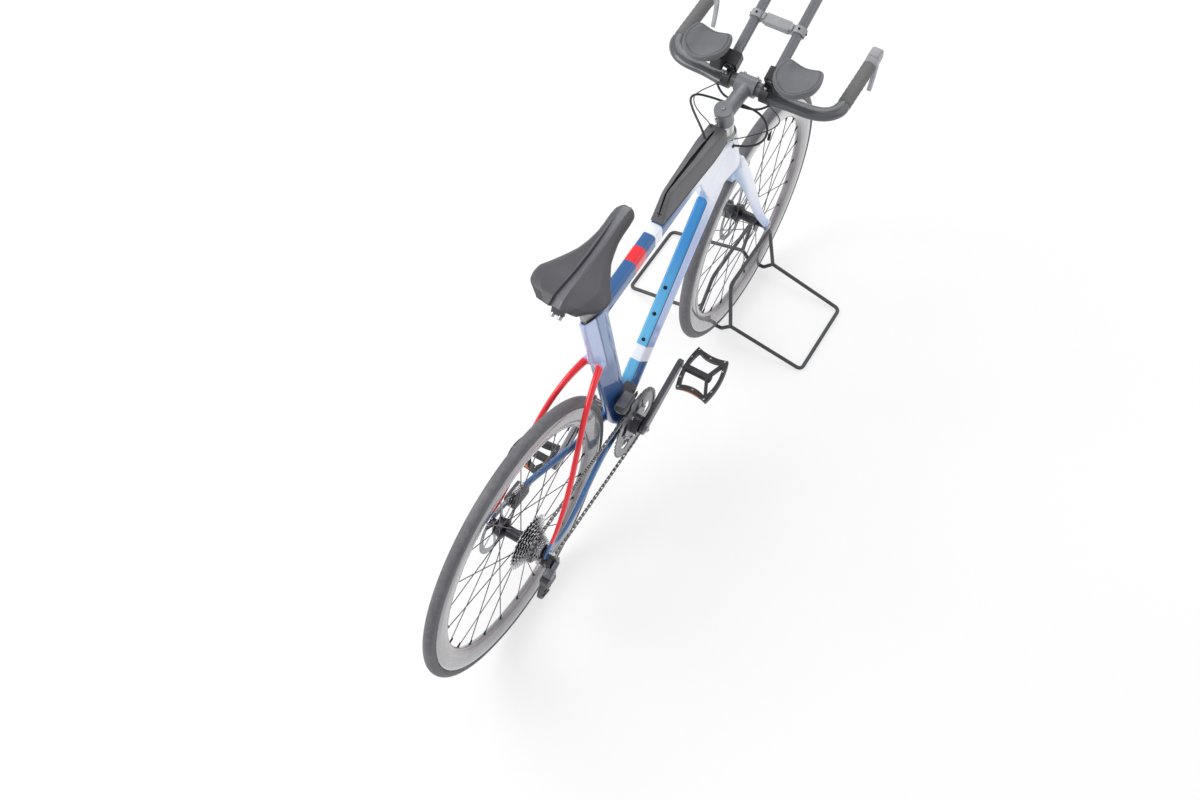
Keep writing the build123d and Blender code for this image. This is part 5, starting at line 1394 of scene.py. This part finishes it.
@dataclass
class Fasteners:
    """Every socket bolt, by the body that it rides on."""

    rings: Sequence = ((-0.2, 0.95, 0), (0.0, 1.0, 0), (0.75, 1.0, 0), (0.9, 0.9, 0), (0.9, 0.6, 0),
                       (0.86, 0.5, 1), (0.2, 0.5, 1))

    def build(self) -> None:
        """Set each body's bolts."""
        for (body, finish), spots in self.spots().items():
            name = f"bolts_{body}" if finish is Finish.DARK_STEEL else f"bright_bolts_{body}"
            dress(sharpen(CopyTree.place(name, self.head(), spots, finish)), finish, body)

    def head(self) -> Piece:
        """Make a round socket head of 1 mm radius, along Z, with a hexagonal socket."""
        around = 24
        rings = []
        for height, radius, hexed in self.rings:
            ring = []
            for angle in (TURN * index / around for index in range(around)):
                flat = math.cos(math.pi / 6) / math.cos((angle + math.pi / 6) % (math.pi / 3) - math.pi / 6)
                reach = radius * (flat if hexed else 1.0)
                ring.append(mm(reach * math.cos(angle), reach * math.sin(angle), height))
            rings.append(ring)
        return ring_shell("bolt_head", rings)

    @staticmethod
    def spots() -> dict[tuple[str, Finish], list[Spot]]:
        """Return every bolt's place, direction and head radius in millimetres, by body and finish."""
        front, bright, frame, frame_bright, crank = [], [], [], [], []
        for side in (-1, 1):
            out = SIDE * side
            bright += [Spot(BAR_CENTRE + mm(16.5, side * 15, rise * 13), mm(1, 0, rise * 0.75), size=3.2)
                       for rise in (-1, 1)]
            bright.append(Spot(on_axis(HEAD_TOP + 0.074 + side * 0.013, -0.0185, 0.007), SIDE, size=3.4))
            bright += [Spot(BAR_CENTRE + mm(ahead, side * 46, 20.5), UP, size=3.0) for ahead in (-12, 12)]
            clamp = EXTENSION_FOOT + out * 0.067 + EXTENSION_UP * 0.009
            front += [Spot(clamp + EXTENSION_RAY * along * MM, out, size=2.6) for along in (8, 22)]
            bridge = BRIDGE_CENTRE + out * 0.05
            front += [Spot(bridge + aim * 0.0148, aim, size=2.4) for aim in (EXTENSION_UP, out)]
        bright.append(Spot(on_axis(HEAD_TOP + 0.1008), STEER_UP, size=4.2))
        front.append(Spot(FRONT_AXLE + mm(0, 65.8, 0), SIDE, size=5.2))
        for along in (-19, 19):
            bright.append(Spot(FRONT_CALIPER + mm(0, 13.9, 0) + STEER_UP * along * MM, SIDE, size=3.4))
            frame_bright.append(Spot(REAR_CALIPER + mm(along, 13.9, -along * 0.12), SIDE, size=3.4))
        for place, side, size in ((REAR_AXLE + mm(0, 81.8, 0), 1, 5.2),
                                  (KNUCKLE + mm(0, -86.9, 0), -1, 5.6),
                                  (UPPER_PULLEY + mm(0, -75.8, 0), -1, 5.4),
                                  (LOWER_PULLEY + mm(0, -51.9, 0), -1, 3.6),
                                  (mm(-115.5, -33.9, 384), -1, 4.2),
                                  (SADDLE_CLAMP + mm(0, -29.9, 0), -1, 4.0),
                                  (SADDLE_CLAMP + mm(0, 29.9, 0), 1, 4.0)):
            frame.append(Spot(place, SIDE * side, size=size))
        for index in range(5):
            place = CRANK_CENTRE + polar(math.radians(36 + 72 * index), 0.046)
            crank.append(Spot(place + mm(0, -46.9, 0), -SIDE, size=4.2))
        crank.append(Spot(CRANK_CENTRE + mm(0, -77.4, 0), -SIDE, size=7.0))
        crank += [Spot(CRANK_CENTRE - CRANK_RAY * out * MM + mm(0, 77.3, 0), SIDE, size=3.0)
                  for out in (18, 30)]
        dark, steel = Finish.DARK_STEEL, Finish.STEEL
        return {("front_end", dark): front, ("front_end", steel): bright, ("frame", dark): frame,
                ("frame", steel): frame_bright, ("crank", steel): crank}


@dataclass
class TurnedParts:
    """Round details: lock rings, end caps, bottom bracket cups and the crank's caps."""

    ROTOR_LINE = {"front": 36.7, "rear": 54.7}

    def build(self) -> None:
        """Build each body's turned details."""
        for end, (centre, body) in WHEELS.items():
            rings = [turned("ring", centre + mm(0, self.ROTOR_LINE[end], 0), SIDE,
                            [(0, 20.5), (1.6, 20.5), (2.6, 19), (2.8, 15.2), (1, 14.8)], 48)]
            if end == "rear":
                rings.append(turned("ring", centre + mm(0, -63.2, 0), -SIDE,
                                    [(0, 16.5), (1.8, 16.5), (2.6, 15), (2.8, 11.2)], 40))
            dress(sharpen(join(f"{end}_lock_rings", rings)), Finish.HUB, body)
        cups = [turned("cup", CRANK_CENTRE + SIDE * side * 0.0338, SIDE * side,
                       [(0, 22.5), (0.6, 23.2), (4, 23.2), (4.8, 22.2), (5, 15)], 48) for side in (-1, 1)]
        dress(sharpen(join("bracket_cups", cups)), Finish.CRANK, "frame")
        cap = turned("crank_cap", CRANK_CENTRE + mm(0, 77.2, 0), SIDE,
                     [(0, 12.5), (2.2, 12.5), (3, 11.5), (3, 7.5), (1.2, 7)], 40)
        dress(sharpen(cap), Finish.CRANK, "crank")


@dataclass
class Pedals:
    """The pedals' pins, reflectors and axle caps."""

    offset: float = 0.1315
    half_length: float = 0.0565
    half_end: float = 0.039
    half_thick: float = 0.0085
    waist: float = 0.007
    barrel_reach: float = 0.022

    def build(self) -> None:
        """Build both pedals' details."""
        for side, name, pitch in ((-1, "right", 16.0), (1, "left", -22.0)):
            ray, rise = polar(math.radians(pitch)), polar(math.radians(pitch + 90))
            centre = CRANK_CENTRE - CRANK_RAY * CRANK_LENGTH * side + SIDE * side * self.offset
            body = f"pedal_{name}"
            corner, end = self.half_length - 0.005, self.half_length - self.waist - 0.006
            places = [(ahead * along, out * wide) for ahead in (-1, 1) for out in (-1, 1)
                      for along, wide in ((corner, self.half_end - 0.005), (0.028, 0.0413))]
            places += [(-end, 0.0), (end, 0.0)]
            lift = rise * (self.half_thick - 0.0002)
            spots = [Spot(centre + lift * face + ray * along + SIDE * out, rise * face)
                     for face in (-1, 1) for along, out in places]
            pin = turned("pin", Vector(), UP, [(0, 2.2), (1.2, 2.2), (1.4, 1.5), (3.6, 1.5)], 12)
            pins = CopyTree.place(f"{body}_pins", pin, spots, Finish.STEEL)
            dress(sharpen(pins), Finish.STEEL, body)
            reflectors = [self.reflector(centre, ray, rise, ahead) for ahead in (-1, 1)]
            dress(join(f"{body}_reflectors", reflectors), Finish.AMBER, body)
            cap = turned(f"{body}_cap", centre + SIDE * side * (self.barrel_reach - 0.0002), SIDE * side,
                         [(0, 8.8), (0.8, 8.8), (1.6, 7.8), (1.8, 4)])
            dress(sharpen(cap), Finish.PEDAL, body)

    def reflector(self, centre: Vector, ray: Vector, rise: Vector, ahead: int) -> Piece:
        """Return a reflector bowed into one hollow end."""
        stations = []
        for out in (0.021 * (step / 4 - 1) for step in range(9)):
            bow = self.half_length - self.waist * (1 - (out / self.half_end) ** 2) + 0.0006
            place = centre + ray * ahead * bow + SIDE * out
            stations.append(Station(place, ray * 0.0013, rise * 0.0042, 0.4))
        return loft("reflector", stations, 16)


@dataclass
class StorageBox:
    """The storage box on the top tube: a rounded shell whose lid parts along a lipped slit."""

    stations: Sequence[float] = (31.6, 33, 36, 45, 56, 61, 64, 67, 71, 78, 100, 130, 160, 176, 195, 217,
                                 224, 231, 250, 262, 268, 280, 283)
    height: Keys = ((31.6, 4), (33, 8.5), (60, 47.5), (64, 52.4), (68, 54.6), (73, 55.2), (217, 44.3),
                    (231, 43.0), (281, 36.2), (283, 35.0), (283.6, 33))
    width: Keys = ((31.6, 27), (33.5, 30), (65.6, 32), (223.6, 50), (281, 50), (283.6, 47))
    slit: Keys = ((38, 0.15), (41, 1.3), (66, 1.5), (175.6, 4.0), (262, 1.5), (265, 0.15))
    gape: Keys = ((36, 0), (40, 1), (262, 1), (266, 0))
    edge: float = 5.0
    lean: float = 0.105

    def build(self) -> None:
        """Build the shell with painted shade in dark lip rubber inside its slit, its gasket and its catch."""
        shell = ring_shell("storage_box_shell", [self.ring(x) for x in self.stations])
        dress(sharpen(shell, 38), Finish.BOX, "frame", ["storage_box"])
        # painted shade: the slit's walls and floor take the dark lip rubber in place of the shade inside the
        # slit
        shell.data.materials.append(Finish.LIP.material)
        for face in shell.data.polygons:
            x, y, _ = face.center / MM
            in_slit_shade = abs(y) < straight_map(self.slit, x) + 0.35
            if in_slit_shade and straight_map(self.gape, x) > 0.3 and 38 < x < 265:
                face.material_index = 1
        self.gasket()
        self.catch()

    def gasket(self) -> None:
        """Run a thin seal round the box's foot."""
        gaskets = []
        for side in (-1, 1):
            stations = [Station(mm(x, side * (straight_map(self.width, x) / 2 + 0.1), self.foot(x) + 0.7),
                                SIDE * 0.0009, UP * 0.0009) for x in (32, 50, 66, 120, 180, 224, 250, 283)]
            gaskets.append(loft("gasket", stations, 10))
        dress(join("box_gasket", gaskets), Finish.LIP, "frame")

    def catch(self) -> None:
        """Set the T at the foot of the slit on the tail."""
        slope, normal = mm(0.57, 0, 0.82).normalized(), mm(-0.82, 0, 0.57).normalized()
        place = mm(40, 0, self.foot(40.0) + straight_map(self.height, 40.0)) + normal * 0.0004
        catch = block("box_tail_catch", place, (slope * 0.0013, SIDE * 0.0050, normal * 0.0009), 0.5)
        dress(catch, Finish.LIP, "frame")

    @staticmethod
    def foot(x: float) -> float:
        """Return the height of the top tube's upper face."""
        return 771 + (x + 212.2) * math.tan(math.radians(4)) + 21.05 + 0.3

    def ring(self, x: float) -> list[Vector]:
        """Return one section: side, rounded edge, lip and slit, and the same mirrored."""
        high, wide, slit, gape = (straight_map(keys, x)
                                  for keys in (self.height, self.width, self.slit, self.gape))
        half = wide / 2
        edge = min(self.edge, high * 0.4)
        bend = half - high * self.lean - edge
        wing = [(half - 1.2, 0.0), (half, 1.4)]
        for angle in (math.radians(6 + step * 21) for step in range(5)):
            wing.append((bend + edge * math.cos(angle), high - edge + edge * math.sin(angle)))
        wing += [(slit + 3.6, high), (slit + 2.8, high + gape), (slit + 0.7, high + gape),
                 (slit, high + 0.3 * gape), (slit * 0.9, high - 6.0 * gape)]
        return [mm(x, y, self.foot(x) + z) for y, z in wing + [(-y, z) for y, z in reversed(wing)]]


@dataclass
class Drivetrain:
    """The derailleurs' moulded bodies and the callipers' fittings over the CAD pieces."""

    link: Sequence = ((-0.32, 8, 3), (-0.28, 11, 5), (0.1, 14, 6.5), (0.6, 13, 6.5), (1.1, 11, 5.5),
                      (1.22, 8, 3.5))
    cell: Keys = ((-0.02, 8), (0.02, 12), (0.12, 14), (0.5, 15), (0.85, 13), (0.97, 11), (1.02, 6))
    plate: Keys = ((-0.2, 6), (-0.1, 12), (0.3, 13), (0.8, 12), (1.15, 11), (1.28, 6))

    def build(self) -> None:
        """Build each cover."""
        self.front_motor()
        self.rear_motor()
        self.brakes()

    @staticmethod
    def front_motor() -> None:
        """Shape the front derailleur's motor, lid and link."""
        covers = (("motor", Finish.CALIPER, mm(-142, -35.5, 390),
                   (mm(27, 0, 2), mm(0, 15.5, 0), mm(-1, 0, 15.5)), 10),
                  ("lid", Finish.UNIT, mm(-144, -35.5, 405.5),
                   (mm(20, 0, 1.5), mm(0, 11, 0), mm(0, 0, 2.2)), 1.6),
                  ("link", Finish.CRANK, mm(-128, -52.5, 380),
                   (mm(15, 0, -4), mm(0, 1.8, 0), mm(2, 0, 8)), 1.2))
        for name, finish, centre, halves, round_off in covers:
            cover = block(f"front_derailleur_{name}", centre, halves, round_off)
            dress(cover, finish, "frame")

    def rear_motor(self) -> None:
        """Shape the rear derailleur's outer link, knuckles, motor and cage plate."""
        knuckle, head = KNUCKLE + mm(0, -84, 0), UPPER_PULLEY + mm(0, -72, 0)
        run = head - knuckle
        side = run.cross(SIDE).normalized()
        face = run.cross(side).normalized()
        link = [Station(knuckle + run * share + face * 0.010, side * wide * MM, face * thick * MM, 0.5)
                for share, wide, thick in self.link]
        motor = block("motor", REAR_AXLE + mm(-22, -90, -44), (mm(11, 0, 4), mm(0, 10, 0), mm(-4, 0, 12)), 4)
        parts = [loft("link", link, 28), motor]
        dress(sharpen(join("rear_derailleur_link", parts), 50), Finish.UNIT, "frame")
        cell = [Station(REAR_AXLE + mm(-18 - 24 * share, -82 + 4 * share, -58 - 78 * share),
                        mm(wide, 0, -wide * 0.3), SIDE * 0.0085 * (0.7 + 0.3 * wide / 15), 0.5)
                for share, wide in self.cell]
        plate = [Station(REAR_AXLE + mm(12 + 28 * share, -63.5, -74 - 56 * share), mm(wide, 0, wide * 0.5),
                         SIDE * 0.0016, 0.6) for share, wide in self.plate]
        fins = [block("fin", REAR_AXLE + mm(-22 - 5 * index, -90.5 + index * 0.8, -76 - 15 * index),
                      (mm(12, 0, -4), mm(0, 1.4, 0), mm(0.8, 0, 2.4)), 0.6) for index in range(4)]
        parts = [loft("cell", cell, 28), *fins, loft("outer_plate", plate)]
        dress(join("rear_derailleur_plate", parts), Finish.CALIPER, "frame")

    @staticmethod
    def brakes() -> None:
        """Add each calliper's bridge bolt, hose fitting and pad fins."""
        places = (("front", FRONT_CALIPER, STEER_UP, "front_end"),
                  ("rear", REAR_CALIPER, Vector((0.993, 0, -0.119)), "frame"))
        for end, centre, along, body in places:
            across = along.cross(SIDE).normalized()
            out = across if across.z > 0 or end == "front" else -across
            parts = [block("fins", centre + out * 0.0158, (along * 0.011, SIDE * 0.0055, out * 0.0022), 1),
                     turned("banjo", centre + along * 0.017 + out * 0.0145, out,
                            [(0, 6.2), (3, 6.2), (3.6, 4.5), (7.5, 4.5), (8, 3.5)], 20)]
            parts += [block("rib", centre + along * step * 0.0042 + out * 0.0185,
                            (along * 0.0009, SIDE * 0.0050, out * 0.0022), 0.4) for step in range(-2, 3)]
            dress(sharpen(join(f"{end}_caliper_fittings", parts)), Finish.STEEL, body)


@dataclass
class StandWelds:
    """The weld beads where the stand's rods meet."""

    rods_x: Sequence[float] = (397.5, 642.5)
    rods_y: float = 47
    rods_z: float = 45
    reach: float = 0.0048
    lumps: int = 10

    def build(self) -> None:
        """Build a lumpy bead at each joint."""
        spots = []
        for x in self.rods_x:
            for side in (-1, 1):
                for angle in (TURN * step / self.lumps for step in range(self.lumps)):
                    ray = Vector((0, math.cos(angle), math.sin(angle)))
                    spots.append(Spot(mm(x, side * self.rods_y, self.rods_z) + ray * self.reach, ray))
        profile = [(0, 1.2), (0.8, 2.6), (2, 2.8), (3, 1.8), (3.3, 0.5)]
        bead = turned("bead", mm(0, 0, -1.6), UP, profile, 14)
        beads = CopyTree.place("weld_beads", bead, spots, Finish.STAND)
        dress(beads, Finish.STAND, "front_end")


# ---------------------------------------------------------------- studio
@dataclass
class Studio:
    """The pale floor, the soft light and the main camera."""

    camera_place: Vector = Vector((-1.42640, -0.76396, 2.75674))
    camera_axes: Sequence[Vector] = (Vector((0.52261293, -0.85256749, -0.00209925)),
                                     Vector((0.72313222, 0.44196380, 0.53079920)),
                                     Vector((-0.45161435, -0.27892056, 0.84749502)))
    lens: float = 37.41
    floor_reach: float = 30.0
    floor_glow: float = 0.62
    sky: float = 0.66
    aim: Vector = Vector((0, 0, 0.4))
    lamps: Sequence = (("key", Vector((-1.6, 2.6, 3.2)), 2.6, 100),
                       ("fill", Vector((1.8, -2.4, 2.8)), 3.0, 26),
                       ("edge", Vector((2.9, 0.9, 3.0)), 2.4, 36))

    def build(self) -> None:
        """Set up the floor, the lights and the camera."""
        self.floor()
        self.light_up()
        self.camera()

    def light_up(self) -> None:
        """Light the bike from high on the picture's left, with a soft fill, an edge light and a sky."""
        for name, place, size, power in self.lamps:
            lamp = bpy.data.lights.new(name, "AREA")
            lamp.size = size
            lamp.energy = power
            holder = add_object(name, lamp)
            holder.location = place
            holder.rotation_euler = (place - self.aim).to_track_quat("Z", "Y").to_euler()
        world = bpy.data.worlds.new("studio")
        world.use_nodes = True
        world.node_tree.nodes["Background"].inputs[0].default_value = (1.0, 1.0, 1.0, 1.0)
        world.node_tree.nodes["Background"].inputs[1].default_value = self.sky
        bpy.context.scene.world = world

    def floor(self) -> None:
        """Lay a wide pale floor that stays bright to the camera."""
        reach = self.floor_reach
        corners = [(x * reach, y * reach, 0) for x, y in ((-1, -1), (1, -1), (1, 1), (-1, 1))]
        mesh = bpy.data.meshes.new("floor")
        mesh.from_pydata(corners, [], [(0, 1, 2, 3)])
        floor = add_object("floor", mesh)
        shader = Shader("floor paper")
        shader.finish(Base_Color=(0.92, 0.92, 0.925), Roughness=0.9)
        straight, glossy = (shader.node("ShaderNodeLightPath", {}, {}, f"Is {kind} Ray")
                            for kind in ("Camera", "Glossy"))
        sight = straight.math("MAXIMUM", glossy) * self.floor_glow
        glow = shader.node("ShaderNodeEmission", {}, {})
        paper = Value(shader, shader.surface.outputs[0])
        blend = shader.node("ShaderNodeMixShader", {}, {0: sight, 1: paper, 2: glow})
        shader.feed(shader.tree.nodes["Material Output"].inputs[0], blend)
        mesh.materials.append(shader.material)
        floor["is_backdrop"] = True

    def camera(self) -> None:
        """Place the main camera, high up behind the bike and to its right."""
        camera = bpy.data.cameras.new("photo")
        camera.lens = self.lens
        camera.sensor_width = 36.0
        camera.clip_end = 60.0
        holder = add_object("photo", camera)
        turn = Matrix(self.camera_axes).transposed()
        holder.matrix_world = Matrix.Translation(self.camera_place) @ turn.to_4x4()
        bpy.context.scene.camera = holder
        bpy.context.scene.view_settings.view_transform = "Standard"


def main() -> None:
    """Build the bike's looks and its studio."""
    logging.basicConfig(level=logging.INFO, format="%(name)s: %(message)s")
    frame = Frame()
    parts = (Monocoque(frame), Fork(frame), *map(Wheel, WHEELS), Chain(), Saddle(), ArmPads(), Cords(),
             Cockpit(), Fasteners(), TurnedParts(), Pedals(), StorageBox(), Drivetrain(), StandWelds(),
             Studio())
    for part in parts:
        part.build()
    frame.write_sizes()


if __name__ == "__main__":
    main()
